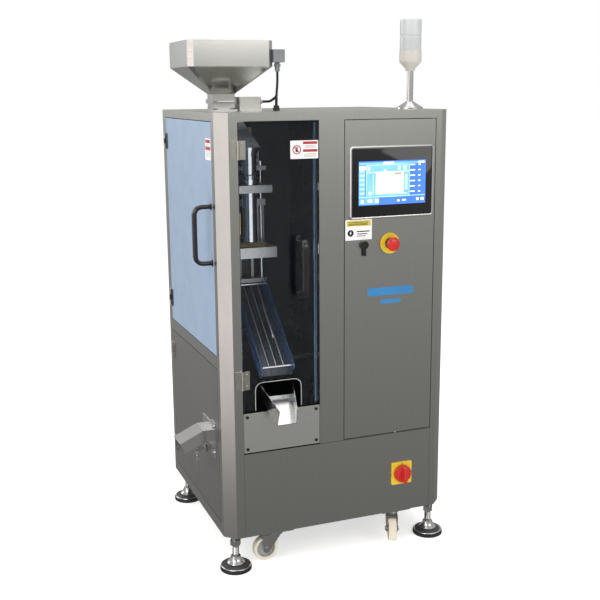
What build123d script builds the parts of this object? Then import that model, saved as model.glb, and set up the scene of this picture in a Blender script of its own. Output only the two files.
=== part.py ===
from build123d import *
from math import asin, cos, radians, sin, sqrt
import os

# Vertical form fill sealer: a stainless cabinet on levelling feet and casters, with a
# hopper on top, a film compartment behind a tinted door and a control compartment.
# Millimetres, +Z up, front of the cabinet towards -Y, floor at z = 0.

os.makedirs("parts", exist_ok=True)

# ---------------------------------------------------------------- driving dimensions
CAB_W = 700.0               # cabinet width, left face to right face
CAB_D = 600.0               # cabinet depth, front face to rear face
BASE_Z = 105.0              # underside of the cabinet above the floor
CAB_H = 1205.0              # underside to top
SHEET = 2.0                 # cabinet sheet
CORNER = 31.0               # leg of the chamfered front corners
REVEAL = 2.0                # gap round an inset door
RUN = 0.05                  # radial clearance of a pin in its hole
SEAT = 0.3                  # gap between pieces that rest on each other across a joint
FRAME_TUBE = 28.0           # square tube of the welded frame
TUBE_WALL = 2.0
BASE_TUBE_H = 40.0          # height of the bottom ring
TOP_TUBE_H = 16.0           # height of the top ring
STILE = 56.0                # cabinet edge to door opening
TOP_BAND = 23.0             # height of the sheet above the door openings

FOOT_PAD_R = 46.0           # levelling foot
FOOT_IN_X = 34.0            # foot axis inwards from the side face
FOOT_IN_Y = 30.0            # foot axis inwards from the front or rear face
STEM_R = 10.0

DOOR_W = 233.0              # film compartment opening
POST_W = 75.0               # post between the two openings
PANEL_TOP = 254.0           # top of the lower front panel above the underside
SILL_H = 117.0              # stainless plate under the viewing door
GLASS_T = 6.0               # acrylic of the viewing door
CUTOUT_W = 139.0            # cut-out for the spout in the viewing door
CUTOUT_H = 83.0
CUTOUT_R = 25.0

DUCT_W = 75.0               # reject duct on the lower side door
DUCT_H = 34.0
DUCT_OUT = 20.4             # length of its level leg
DUCT_RUN = 67.6             # sideways run of its sloping leg
DUCT_DROP = 30.5            # drop of its sloping leg

SPOUT_W = 100.0             # outlet spout: width at its inlet
SPOUT_TIP_W = 60.0          # width at its tip
SPOUT_SLOPE = 36.0          # degrees
SPOUT_LEN = 100.0           # along its floor
SPOUT_WALL = 39.0
SPOUT_SHEET = 2.0

TUBE_R = 22.0               # forming tube
TUBE_X = 168.5              # its axis from the left face
TUBE_Y = 250.0              # its axis from the front face

HOPPER_W = 246.0
HOPPER_D = 225.0
HOPPER_X = 95.5             # hopper axis from the left face
HOPPER_Y = 271.2            # hopper axis from the front face
THROAT_W = 67.0
THROAT_D = 52.0

# ---------------------------------------------------------------- planes of the cabinet
SPOUT_REACH = 66.0
CAB_X = (DUCT_OUT + DUCT_RUN + 7.0 - (FOOT_PAD_R - FOOT_IN_X)) / 2
CAB_Y = (SPOUT_REACH - (FOOT_PAD_R - FOOT_IN_Y)) / 2
LEFT = CAB_X - CAB_W / 2
RIGHT = CAB_X + CAB_W / 2
FRONT = CAB_Y - CAB_D / 2
REAR = CAB_Y + CAB_D / 2
TOP_Z = BASE_Z + CAB_H
PLATE_Z = TOP_Z - SHEET     # underside of the top plate

OPEN_L = LEFT + STILE
OPEN_R = OPEN_L + DOOR_W
CTRL_L = OPEN_R + POST_W
CTRL_R = RIGHT - STILE + 7.0
OPEN_TOP = TOP_Z - TOP_BAND
SILL_Z = BASE_Z + PANEL_TOP
FLOOR_TOP = BASE_Z + BASE_TUBE_H
WALL_X = OPEN_R + 37.0      # left face of the partition wall
WALL_T = 3.0

FRONT_FACE = Plane((0, FRONT, 0), x_dir=(1, 0, 0), z_dir=(0, -1, 0))
LEFT_FACE = Plane((LEFT, 0, 0), x_dir=(0, -1, 0), z_dir=(-1, 0, 0))
OUT_FRONT = Vector(0, -1, 0)
OUT_LEFT = Vector(-1, 0, 0)
UP = Vector(0, 0, 1)


def block(x0, x1, y0, y1, z0, z1, mode=Mode.ADD):
    """Box between two opposite corners, in the part being built."""
    with Locations(((x0 + x1) / 2, (y0 + y1) / 2, (z0 + z1) / 2)):
        Box(x1 - x0, y1 - y0, z1 - z0, mode=mode)


def rod(start, direction, length, radius, mode=Mode.ADD):
    """Cylinder from a point along a direction, in the part being built."""
    with Locations(Plane(start, z_dir=direction)):
        Cylinder(radius, length, align=(Align.CENTER, Align.CENTER, Align.MIN), mode=mode)


def save(name, *pieces):
    """Label a finished sub-part and write its STEP file; several pieces stay separate solids."""
    for piece in pieces:
        piece.part.label = name
    whole = pieces[0].part
    if len(pieces) > 1:
        whole = Compound(label=name, children=[solid for piece in pieces for solid in piece.part.solids()])
    export_step(whole, f"parts/{name}.step")


def screw_head(point, out, radius=4.5, height=2.5):
    """Pan head screw lying on a face."""
    rod(point, out, height, radius)
    rod(point + out * (height - 1.0), out, 2.0, radius * 0.45, mode=Mode.SUBTRACT)


# ================================================================= welded frame
FEET = [
    (x, y)
    for y in (FRONT + FOOT_IN_Y, REAR - FOOT_IN_Y)
    for x in (LEFT + FOOT_IN_X, RIGHT - FOOT_IN_X)
]
HALF_TUBE = FRAME_TUBE / 2
TUBE_IN_X = FOOT_IN_X + HALF_TUBE       # inner faces of the tubes, from the cabinet faces
TUBE_IN_Y = FOOT_IN_Y + HALF_TUBE
STRIP_H = 30.0

with BuildPart() as welded_frame:
    for z0, z1 in ((BASE_Z, FLOOR_TOP), (PLATE_Z - TOP_TUBE_H, PLATE_Z)):
        for x in (LEFT + FOOT_IN_X, RIGHT - FOOT_IN_X):
            block(x - HALF_TUBE, x + HALF_TUBE, FRONT + FOOT_IN_Y, REAR - FOOT_IN_Y, z0, z1)
        for y in (FRONT + FOOT_IN_Y, REAR - FOOT_IN_Y):
            block(LEFT + FOOT_IN_X, RIGHT - FOOT_IN_X, y - HALF_TUBE, y + HALF_TUBE, z0, z1)
    block(
        LEFT + TUBE_IN_X, RIGHT - TUBE_IN_X, FRONT + TUBE_IN_Y, REAR - TUBE_IN_Y,
        FLOOR_TOP - SHEET, FLOOR_TOP,
    )
    for x, y in FEET:
        with BuildSketch(Plane.XY.offset(BASE_Z)):
            with Locations((x, y)):
                Rectangle(FRAME_TUBE, FRAME_TUBE)
        extrude(amount=PLATE_Z - BASE_Z)
    for x, y in FEET:
        hollow = HALF_TUBE - TUBE_WALL
        block(x - hollow, x + hollow, y - hollow, y + hollow, FLOOR_TOP, PLATE_Z, mode=Mode.SUBTRACT)
        rod((x, y, BASE_Z), UP, BASE_TUBE_H, STEM_R + RUN, mode=Mode.SUBTRACT)
    # edge strips between the bottom tubes and the cabinet sheets
    for x0, x1 in ((LEFT + SHEET, LEFT + TUBE_IN_X), (RIGHT - TUBE_IN_X, RIGHT - SHEET)):
        block(x0, x1, FRONT + TUBE_IN_Y, REAR - TUBE_IN_Y, BASE_Z, BASE_Z + STRIP_H)
    for y0, y1 in ((FRONT + SHEET, FRONT + TUBE_IN_Y), (REAR - TUBE_IN_Y, REAR - SHEET)):
        block(LEFT + TUBE_IN_X, RIGHT - TUBE_IN_X, y0, y1, BASE_Z, BASE_Z + STRIP_H)
save("welded_frame", welded_frame)

# ================================================================= levelling feet
PAD_H = 12.0                            # rubber pad
NUT_LOW, NUT_HIGH = BASE_Z - 30.0, BASE_Z - 14.0
STEM_TOP = FLOOR_TOP + 25.0

for number, (foot_x, foot_y) in enumerate(FEET, start=1):
    profile_plane = Plane((foot_x, foot_y, 0), x_dir=(1, 0, 0), z_dir=(0, -1, 0))
    foot_axis = Axis((foot_x, foot_y, 0), (0, 0, 1))
    with BuildPart() as rubber_pad:
        with BuildSketch(profile_plane):
            with BuildLine():
                Polyline(
                    (0, 0), (FOOT_PAD_R - 1.5, 0), (FOOT_PAD_R, 1.5), (FOOT_PAD_R, PAD_H - 2),
                    (FOOT_PAD_R - 2, PAD_H), (0, PAD_H), close=True,
                )
            make_face()
        revolve(axis=foot_axis)
    with BuildPart() as steel_cup:
        with BuildSketch(profile_plane):
            with BuildLine():
                Polyline(
                    (0, PAD_H), (FOOT_PAD_R - 2, PAD_H), (FOOT_PAD_R - 4, PAD_H + 7), (22, PAD_H + 17),
                    (14, PAD_H + 29), (STEM_R, PAD_H + 30), (STEM_R, STEM_TOP), (0, STEM_TOP),
                    close=True,
                )
            make_face()
        revolve(axis=foot_axis)
        with BuildSketch(Plane.XY.offset(NUT_LOW)):
            with Locations((foot_x, foot_y)):
                RegularPolygon(radius=16.0, side_count=6)
        extrude(amount=NUT_HIGH - NUT_LOW)
    save(f"levelling_foot_{number}", rubber_pad, steel_cup)

# ================================================================= casters
CASTER_X = 192.0                        # swivel axes from the cabinet's middle
CASTER_IN_Y = 38.0                      # and from its front and rear faces
TRAIL = 30.0
WHEEL_R = 37.5
WHEEL_W = 25.0
AXLE_Z = 45.5
AXLE_R = 4.0
PLATE_T = 4.0
KINGPIN_R = 6.0
HEAD_TOP = BASE_Z - PLATE_T - SEAT
ARM_T = 3.0
ARM_IN = WHEEL_W / 2 + 1.5
CASTERS = [
    (CAB_X - CASTER_X, FRONT + CASTER_IN_Y, 180.0),
    (CAB_X + CASTER_X, FRONT + CASTER_IN_Y, 249.0),
    (CAB_X - CASTER_X, REAR - CASTER_IN_Y, 205.0),
    (CAB_X + CASTER_X, REAR - CASTER_IN_Y, 160.0),
]

with BuildPart() as caster_plates:
    for x, y, heading in CASTERS:
        block(x - 47.5, x + 47.5, y - 35, y + 35, BASE_Z - PLATE_T, BASE_Z)
    for x, y, heading in CASTERS:
        rod((x, y, BASE_Z - PLATE_T), UP, PLATE_T, KINGPIN_R + RUN, mode=Mode.SUBTRACT)
save("caster_plates", caster_plates)

for number, (x, y, heading) in enumerate(CASTERS, start=1):
    ahead = Vector(cos(radians(heading)), sin(radians(heading)), 0)
    across = Vector(-ahead.Y, ahead.X, 0)
    swivel = Vector(x, y, 0)
    axle = swivel + ahead * TRAIL + UP * AXLE_Z
    with BuildPart() as fork:
        with BuildSketch(Plane(swivel + UP * (WHEEL_R + AXLE_Z + 4), x_dir=ahead, z_dir=UP)):
            with Locations((TRAIL / 2 - 4, 0)):
                RectangleRounded(TRAIL + 34, 2 * (ARM_IN + ARM_T), 8)
        extrude(amount=ARM_T)
        rod(swivel + UP * (WHEEL_R + AXLE_Z + 6), UP, HEAD_TOP - WHEEL_R - AXLE_Z - 6, 22)
        rod(swivel + UP * (HEAD_TOP - 1), UP, PLATE_T, KINGPIN_R)
        for side in (-1, 1):
            arm_plane = Plane(swivel + across * (side * ARM_IN), x_dir=ahead, z_dir=-across)
            with BuildSketch(arm_plane):
                with BuildLine():
                    Polyline(
                        (-14, WHEEL_R + AXLE_Z + 5), (TRAIL - 11, AXLE_Z - 3), (TRAIL + 11, AXLE_Z - 3),
                        (TRAIL + 13, WHEEL_R + AXLE_Z + 5), close=True,
                    )
                make_face()
                with Locations((TRAIL, AXLE_Z)):
                    Circle(11.4)
            extrude(amount=-side * ARM_T)
            rod(axle + across * (side * (ARM_IN + ARM_T)), across * side, 4, 6.5)
        rod(axle - across * (ARM_IN + 1), across, 2 * ARM_IN + 2, AXLE_R)
    save(f"caster_fork_{number}", fork)

    with BuildPart() as wheel:
        wheel_plane = Plane(axle - across * (WHEEL_W / 2), x_dir=ahead, z_dir=across)
        with BuildSketch(wheel_plane):
            Circle(WHEEL_R)
        extrude(amount=WHEEL_W)
        fillet(wheel.edges().filter_by(GeomType.CIRCLE), radius=4)
        for side in (-1, 1):
            hub_face = axle + across * (side * (WHEEL_W / 2 - 4))
            rod(hub_face, across * side, 4, WHEEL_R - 10, mode=Mode.SUBTRACT)
        rod(axle - across * (ARM_IN - SEAT), across, 2 * (ARM_IN - SEAT), 11)
        rod(axle - across * ARM_IN, across, 2 * ARM_IN, AXLE_R + RUN, mode=Mode.SUBTRACT)
    save(f"caster_wheel_{number}", wheel)

# ================================================================= cabinet sheets
LIP = 2.0                               # lips behind the plates set into the front
LIP_W = 12.0

MITRE = SHEET * (sqrt(2) - 1)           # inner edge of a folded corner, past its outer edge
SIDE_START = FRONT + CORNER + MITRE     # where the side sheets meet the front frame
PIVOT_R = 2.0                           # pivot pins of the control door
PIVOT_X = CTRL_R - 7.0
PIVOT_Y = FRONT + SHEET + PIVOT_R + 0.2

with BuildPart() as front_frame:
    with BuildSketch(Plane.XY.offset(BASE_Z)):
        with BuildLine():
            Polyline(
                (LEFT, SIDE_START), (LEFT, FRONT + CORNER), (LEFT + CORNER, FRONT), (RIGHT - CORNER, FRONT),
                (RIGHT, FRONT + CORNER), (RIGHT, SIDE_START), (RIGHT - SHEET, SIDE_START),
                (RIGHT - CORNER - MITRE, FRONT + SHEET), (LEFT + CORNER + MITRE, FRONT + SHEET),
                (LEFT + SHEET, SIDE_START), close=True,
            )
        make_face()
    extrude(amount=PLATE_Z - BASE_Z)
    block(OPEN_L, OPEN_R, FRONT - 1, FRONT + SHEET + 1, SILL_Z, OPEN_TOP, mode=Mode.SUBTRACT)
    block(CTRL_L, CTRL_R, FRONT - 1, FRONT + SHEET + 1, SILL_Z + 1, OPEN_TOP, mode=Mode.SUBTRACT)
    block(OPEN_L, CTRL_R, FRONT - 1, FRONT + SHEET + 1, BASE_Z - 1, SILL_Z, mode=Mode.SUBTRACT)
    for x0, x1 in ((OPEN_L - 6, OPEN_L + LIP_W), (CTRL_R - LIP_W, CTRL_R + 6)):
        block(x0, x1, FRONT + SHEET, FRONT + SHEET + LIP, FLOOR_TOP, SILL_Z - 5)
    for x0, x1 in ((OPEN_L - 6, OPEN_L + LIP_W), (OPEN_R - LIP_W, OPEN_R + 6)):
        block(x0, x1, FRONT + SHEET, FRONT + SHEET + LIP, SILL_Z + 4, SILL_Z + SILL_H)
    # pivot brackets of the control door, above and below its right edge
    for z0, z1 in ((OPEN_TOP + 0.5, OPEN_TOP + 10), (SILL_Z - 13, SILL_Z - 1)):
        block(PIVOT_X - 6, CTRL_R + 6, FRONT + SHEET, FRONT + SHEET + 10, z0, z1)
        rod((PIVOT_X, PIVOT_Y, z0), UP, z1 - z0, PIVOT_R + RUN, mode=Mode.SUBTRACT)
save("front_frame", front_frame)

SWITCH_X = RIGHT - 144.5                # main switch
SWITCH_Z = BASE_Z + 123.0
SWITCH_NECK_R = 16.0
with BuildPart() as lower_front_panel:
    block(OPEN_L + 0.5, CTRL_R - 0.5, FRONT, FRONT + SHEET, BASE_Z, SILL_Z - 1)
    rod((SWITCH_X, FRONT + SHEET, SWITCH_Z), OUT_FRONT, SHEET, SWITCH_NECK_R, mode=Mode.SUBTRACT)
save("lower_front_panel", lower_front_panel)

with BuildPart() as sill_plate:
    block(OPEN_L + 2, OPEN_R - 2, FRONT, FRONT + SHEET, SILL_Z + 3, SILL_Z + 3 + SILL_H)
save("sill_plate", sill_plate)

SIDE_DOOR_FRONT = FRONT + STILE         # upper side door opening
SIDE_DOOR_REAR = REAR - 35.0
SIDE_RAIL_LOW = BASE_Z + 498.0          # rail between the two side doors
SIDE_RAIL_HIGH = SIDE_RAIL_LOW + 35.0
LOWER_DOOR_LOW = BASE_Z + 35.0

with BuildPart() as left_side_frame:
    block(LEFT, LEFT + SHEET, SIDE_START, REAR, BASE_Z, PLATE_Z)
    for z0, z1 in ((SIDE_RAIL_HIGH, OPEN_TOP), (LOWER_DOOR_LOW, SIDE_RAIL_LOW)):
        block(LEFT - 1, LEFT + SHEET + 1, SIDE_DOOR_FRONT, SIDE_DOOR_REAR, z0, z1, mode=Mode.SUBTRACT)
save("left_side_frame", left_side_frame)

with BuildPart() as right_side_panel:
    block(RIGHT - SHEET, RIGHT, SIDE_START, REAR, BASE_Z, PLATE_Z)
    with BuildSketch(Plane((RIGHT, CAB_Y, 0), x_dir=(0, 1, 0), z_dir=(1, 0, 0))):
        for louvre_z in (BASE_Z + 180, TOP_Z - 240):
            with Locations((80, louvre_z)):
                with GridLocations(0, 14, 1, 9):
                    SlotOverall(120, 5)
    extrude(amount=-SHEET, mode=Mode.SUBTRACT)
save("right_side_panel", right_side_panel)

INLET_Z = BASE_Z + 90.0                 # cable gland of the rear panel
with BuildPart() as rear_panel:
    block(LEFT + SHEET, RIGHT - SHEET, REAR - SHEET, REAR, BASE_Z, PLATE_Z)
    with BuildSketch(Plane((CAB_X, REAR, 0), x_dir=(-1, 0, 0), z_dir=(0, 1, 0))):
        for vent_x in (-175, 175):
            with Locations((vent_x, TOP_Z - 300)):
                with GridLocations(0, 14, 1, 10):
                    SlotOverall(140, 5)
    extrude(amount=-SHEET, mode=Mode.SUBTRACT)
    rod((CAB_X + 230, REAR - SHEET, INLET_Z), (0, 1, 0), SHEET, 10, mode=Mode.SUBTRACT)
with BuildPart() as cable_gland:
    with BuildSketch(Plane((CAB_X + 230, REAR, INLET_Z), x_dir=(1, 0, 0), z_dir=(0, 1, 0))):
        RegularPolygon(radius=15, side_count=6)
    extrude(amount=7)
    rod((CAB_X + 230, REAR - 12, INLET_Z), (0, 1, 0), 30, 9.5)
    rod((CAB_X + 230, REAR - 12, INLET_Z), (0, 1, 0), 30, 5, mode=Mode.SUBTRACT)
save("rear_panel", rear_panel, cable_gland)

HOP_X = LEFT + HOPPER_X
HOP_Y = FRONT + HOPPER_Y
SENSOR_X = HOP_X + HOPPER_W / 2 + 17.0  # level sensor box beside the hopper
SENSOR_Y = HOP_Y - 92.0
GLAND_1 = (SENSOR_X - 2, SENSOR_Y + 4)  # cable glands in the top plate
GLAND_2 = (SENSOR_X + 6, HOP_Y - 62.0)
GLAND_R = 8.0

with BuildPart() as top_plate:
    with BuildSketch(Plane.XY.offset(PLATE_Z)):
        with BuildLine():
            Polyline(
                (LEFT, FRONT + CORNER), (LEFT + CORNER, FRONT), (RIGHT - CORNER, FRONT),
                (RIGHT, FRONT + CORNER), (RIGHT, REAR), (LEFT, REAR), close=True,
            )
        make_face()
        with Locations((HOP_X, HOP_Y)):
            Rectangle(THROAT_W - 4, THROAT_D - 4, mode=Mode.SUBTRACT)
        with Locations(GLAND_1, GLAND_2):
            Circle(GLAND_R - 2 + RUN, mode=Mode.SUBTRACT)
    extrude(amount=SHEET)
save("top_plate", top_plate)

with BuildPart() as partition_wall:
    block(WALL_X, WALL_X + WALL_T, FRONT + SHEET, REAR - SHEET, FLOOR_TOP, PLATE_Z - TOP_TUBE_H)
    for y0, y1 in ((FRONT + SHEET, FRONT + FOOT_IN_Y - HALF_TUBE), (FRONT + TUBE_IN_Y, REAR - TUBE_IN_Y)):
        block(WALL_X, WALL_X + WALL_T, y0, y1, PLATE_Z - TOP_TUBE_H, PLATE_Z)
save("partition_wall", partition_wall)

# ================================================================= film compartment
AXIS_X = LEFT + TUBE_X                  # forming tube axis
AXIS_Y = FRONT + TUBE_Y
MACHINE_Y = AXIS_Y + 80.0               # front face of the machine plate
MACHINE_LOW = TOP_Z - 670.0
ROLL_R = 100.0
ROLL_W = 160.0
ROLL_Y = MACHINE_Y + WALL_T + ROLL_R + 30.0
ROLL_Z = TOP_Z - 330.0
ROLL_X = LEFT + 90.0                    # left end of the film roll
SPINDLE_R = 14.0

with BuildPart() as machine_plate:
    block(LEFT + 52, WALL_X, MACHINE_Y, MACHINE_Y + WALL_T, MACHINE_LOW, PLATE_Z)
with BuildPart() as film_spindle:
    rod((ROLL_X - 12, ROLL_Y, ROLL_Z), (1, 0, 0), WALL_X - ROLL_X + 12, SPINDLE_R)
    rod((WALL_X - 6, ROLL_Y, ROLL_Z), (1, 0, 0), 6, 26)
    rod((ROLL_X - 12, ROLL_Y, ROLL_Z), (1, 0, 0), 12 - SEAT, 20)
save("machine_plate", machine_plate, film_spindle)

with BuildPart() as film_roll:
    rod((ROLL_X, ROLL_Y, ROLL_Z), (1, 0, 0), ROLL_W, ROLL_R)
    rod((ROLL_X - 0.01, ROLL_Y, ROLL_Z), (1, 0, 0), 4, 40, mode=Mode.SUBTRACT)
    rod((ROLL_X, ROLL_Y, ROLL_Z), (1, 0, 0), ROLL_W + 8, 36)
    rod((ROLL_X, ROLL_Y, ROLL_Z), (1, 0, 0), ROLL_W + 8, SPINDLE_R + RUN, mode=Mode.SUBTRACT)
save("film_roll", film_roll)

ROD_R = 5.0                             # guide rods of the draw carriage
ROD_SPREAD = 50.0
ROD_Y = AXIS_Y + 45.0
ROD_TOP = TOP_Z - 149.0
SHELF_Z = TOP_Z - 515.0
SHELF_T = 12.0
CLAMP_Z = TOP_Z - 237.0
CLAMP_T = 22.0
HEAD_Z = TOP_Z - 175.0
HEAD_T = 12.0
CYL_X = AXIS_X + 31.5                   # draw cylinder
CYL_Y = AXIS_Y + 36.0
CYL_R = 12.0
CYL_H = 58.0
PISTON_R = 4.0
RODS = [(AXIS_X - ROD_SPREAD, ROD_Y), (AXIS_X + ROD_SPREAD, ROD_Y)]

with BuildPart() as tube_carrier:
    for x in (AXIS_X - 14, AXIS_X + 26):
        block(x - 4, x + 4, MACHINE_Y - 18, MACHINE_Y, SHELF_Z, TOP_Z - 50)
    for x0, x1, y0, z, t in (
        (AXIS_X - 62, AXIS_X + 62, AXIS_Y + 34, SHELF_Z, SHELF_T),
        (AXIS_X - 62, AXIS_X + 62, AXIS_Y - TUBE_R - 6, CLAMP_Z, CLAMP_T),
        (AXIS_X - 62, AXIS_X + 62, AXIS_Y + TUBE_R + 4, HEAD_Z, HEAD_T),
    ):
        block(x0, x1, y0, MACHINE_Y, z, z + t)
    rod((AXIS_X, AXIS_Y, CLAMP_Z), UP, CLAMP_T, TUBE_R + RUN, mode=Mode.SUBTRACT)
    rod((CYL_X, CYL_Y, CLAMP_Z), UP, HEAD_Z + HEAD_T - CLAMP_Z, PISTON_R + 2, mode=Mode.SUBTRACT)
    for x, y in RODS:
        rod((x, y, SHELF_Z), UP, ROD_TOP - SHELF_Z, ROD_R + RUN, mode=Mode.SUBTRACT)
    # arm that carries the vertical sealer's slide block, left of the carriage
    block(AXIS_X - 82, AXIS_X - 70, AXIS_Y - 14, MACHINE_Y, TOP_Z - 350, TOP_Z - 305)
    rod((AXIS_X - 82, AXIS_Y, TOP_Z - 327), (1, 0, 0), 12, 6 + RUN, mode=Mode.SUBTRACT)
save("tube_carrier", tube_carrier)

with BuildPart() as guide_rods:
    for x, y in RODS:
        rod((x, y, SHELF_Z), UP, ROD_TOP - SHELF_Z, ROD_R)
        rod((x, y, HEAD_Z + HEAD_T), UP, ROD_TOP - HEAD_Z - HEAD_T, 8)
save("guide_rods", guide_rods)

CHUTE_TOP_W, CHUTE_TOP_D = THROAT_W + 4, THROAT_D + 4
CHUTE_LOW_Z = TOP_Z - 104.7
CHUTE_WALL = 3.0
with BuildPart() as feed_chute:
    for inset, mode in ((0.0, Mode.ADD), (CHUTE_WALL, Mode.SUBTRACT)):
        with BuildSketch(Plane.XY.offset(PLATE_Z)):
            with Locations((HOP_X, HOP_Y)):
                Rectangle(CHUTE_TOP_W - 2 * inset, CHUTE_TOP_D - 2 * inset)
        with BuildSketch(Plane.XY.offset(CHUTE_LOW_Z)):
            with Locations((AXIS_X, AXIS_Y)):
                Rectangle(58 - 2 * inset, 46 - 2 * inset)
        loft(ruled=True, mode=mode)
    block(
        LEFT + TUBE_IN_X, HOP_X + CHUTE_TOP_W / 2 + 12,
        HOP_Y - CHUTE_TOP_D / 2 - 6, HOP_Y + CHUTE_TOP_D / 2 + 6, PLATE_Z - 4, PLATE_Z,
    )
    block(
        HOP_X - THROAT_W / 2 + 2, HOP_X + THROAT_W / 2 - 2, HOP_Y - THROAT_D / 2 + 2,
        HOP_Y + THROAT_D / 2 - 2, PLATE_Z - 5, PLATE_Z, mode=Mode.SUBTRACT,
    )
save("feed_chute", feed_chute)

TUBE_LOW = TOP_Z - 382.0
FUNNEL_R = 34.0
COLLAR_Z = TOP_Z - 212.0
with BuildPart() as forming_tube:
    with BuildSketch(Plane((AXIS_X, AXIS_Y, 0), x_dir=(1, 0, 0), z_dir=(0, -1, 0))):
        funnel_z = CHUTE_LOW_Z - SEAT
        with BuildLine():
            Polyline(
                (TUBE_R, TUBE_LOW), (TUBE_R, funnel_z - 24), (FUNNEL_R, funnel_z),
                (FUNNEL_R - 1.5, funnel_z), (TUBE_R - 1.5, funnel_z - 23.4), (TUBE_R - 1.5, TUBE_LOW),
                close=True,
            )
        make_face()
    revolve(axis=Axis((AXIS_X, AXIS_Y, 0), (0, 0, 1)))
    # forming collar: a flared shoulder round the tube, standing on the clamp block
    with BuildSketch(Plane((AXIS_X, AXIS_Y, 0), x_dir=(1, 0, 0), z_dir=(0, -1, 0))):
        with BuildLine():
            Polyline(
                (TUBE_R - 0.5, CLAMP_Z + CLAMP_T), (TUBE_R + 2, CLAMP_Z + CLAMP_T),
                (TUBE_R + 5, COLLAR_Z + 14), (TUBE_R + 12, COLLAR_Z + 26), (TUBE_R + 11, COLLAR_Z + 28),
                (TUBE_R + 3, COLLAR_Z + 15), (TUBE_R - 0.5, COLLAR_Z + 12), close=True,
            )
        make_face()
    revolve(axis=Axis((AXIS_X, AXIS_Y, 0), (0, 0, 1)))
save("forming_tube", forming_tube)

CYL_Z = HEAD_Z + HEAD_T
PISTON_Z = CYL_Z + CYL_H - 14.0
CAR_TOP = TOP_Z - 262.0                 # upper block of the draw carriage
CAR_BLOCK = 19.0
CAR_LOW = TOP_Z - 424.0                 # lower block, level with the jaws
JAW_BLOCK = 31.0
CAR_Y0, CAR_Y1 = AXIS_Y + 36.0, MACHINE_Y - 20.0
CAR_HALF = 62.0
ARM_INNER = 54.0
ARM_FRONT = AXIS_Y - 62.0
JAW_D = 16.0
JAW_OPEN = 18.3                         # jaw face to the tube axis, jaws open
JAW_H = 25.0

with BuildPart() as draw_cylinder:
    rod((CYL_X, CYL_Y, CYL_Z), UP, CYL_H, CYL_R)
    rod((CYL_X, CYL_Y, CYL_Z + 4), UP, CYL_H - 8, 8, mode=Mode.SUBTRACT)
    rod((CYL_X, CYL_Y, CYL_Z), UP, 4, PISTON_R + RUN, mode=Mode.SUBTRACT)
    rod((CYL_X, CYL_Y, CYL_Z + CYL_H), UP, 10, 4)
save("draw_cylinder", draw_cylinder)

with BuildPart() as draw_carriage:
    block(AXIS_X - CAR_HALF, AXIS_X + CAR_HALF, CAR_Y0, CAR_Y1, CAR_TOP - CAR_BLOCK, CAR_TOP)
    block(AXIS_X - CAR_HALF, AXIS_X + CAR_HALF, CAR_Y0, CAR_Y1, CAR_LOW, CAR_LOW + JAW_BLOCK)
    for side in (-1, 1):
        x0, x1 = sorted((AXIS_X + side * 40, AXIS_X + side * CAR_HALF))
        block(x0, x1, CAR_Y1 - 8, CAR_Y1, CAR_LOW + JAW_BLOCK, CAR_TOP - CAR_BLOCK)
        x0, x1 = sorted((AXIS_X + side * ARM_INNER, AXIS_X + side * CAR_HALF))
        block(x0, x1, ARM_FRONT, CAR_Y0, CAR_LOW, CAR_LOW + JAW_BLOCK)
    block(AXIS_X - CAR_HALF, AXIS_X + CAR_HALF, ARM_FRONT, ARM_FRONT + 8, CAR_LOW, CAR_LOW + JAW_BLOCK)
    for x, y in RODS:
        rod((x, y, CAR_LOW), UP, CAR_TOP - CAR_LOW, ROD_R + RUN, mode=Mode.SUBTRACT)
    rod((CYL_X, CYL_Y, CAR_TOP - 6), UP, PISTON_Z - CAR_TOP + 6, PISTON_R)
    rod((CYL_X, CYL_Y, PISTON_Z), UP, 6, 7.7)
save("draw_carriage", draw_carriage)

JAW_Z = CAR_LOW + (JAW_BLOCK - JAW_H) / 2
for jaw_name, side in (("front", -1), ("rear", 1)):
    with BuildPart() as jaw:
        y0, y1 = sorted((AXIS_Y + side * JAW_OPEN, AXIS_Y + side * (JAW_OPEN + JAW_D)))
        face = AXIS_Y + side * JAW_OPEN
        block(AXIS_X - ARM_INNER + SEAT, AXIS_X + ARM_INNER - SEAT, y0, y1, JAW_Z, JAW_Z + JAW_H)
        for groove in range(-3, 4):
            if groove != 0:
                rod(
                    (AXIS_X - ARM_INNER, face, JAW_Z + JAW_H / 2 + groove * 3), (1, 0, 0),
                    2 * ARM_INNER, 0.8, mode=Mode.SUBTRACT,
                )
    save(f"sealing_jaw_{jaw_name}", jaw)

SEALER_Z = TOP_Z - 327.0
with BuildPart() as vertical_sealer:
    block(AXIS_X - 42, AXIS_X - 32, AXIS_Y - 8, AXIS_Y + 8, SEALER_Z - 33, SEALER_Z + 32)
    rod((AXIS_X - 42, AXIS_Y, SEALER_Z), (-1, 0, 0), 56, 6)
    rod((AXIS_X - 98, AXIS_Y, SEALER_Z), (-1, 0, 0), 6, 10)
save("vertical_sealer", vertical_sealer)

# ================================================================= bag slide and spout
SLIDE_X = LEFT + 167.0
SLIDE_W = 100.0
SLIDE_LEN = 328.0
SLIDE_SLOPE = 40.9
SLIDE_WALL = 40.0
GUARD_T = 4.0
SLIDE_T = 3.0
SLIDE_BAR = 12.0
slope_up = Vector(0, cos(radians(SLIDE_SLOPE)), sin(radians(SLIDE_SLOPE)))
slope_normal = Vector(0, -slope_up.Z, slope_up.Y)
SLIDE_PLANE = Plane((SLIDE_X, FRONT + 36, BASE_Z + 465), x_dir=(1, 0, 0), z_dir=slope_normal)

with BuildPart(SLIDE_PLANE) as slide_tray:
    block(-SLIDE_W / 2, SLIDE_W / 2, 0, SLIDE_LEN, -SLIDE_T, 0)
    block(-SLIDE_W / 2, SLIDE_W / 2, 0, 12, -12, -SLIDE_T)
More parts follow.
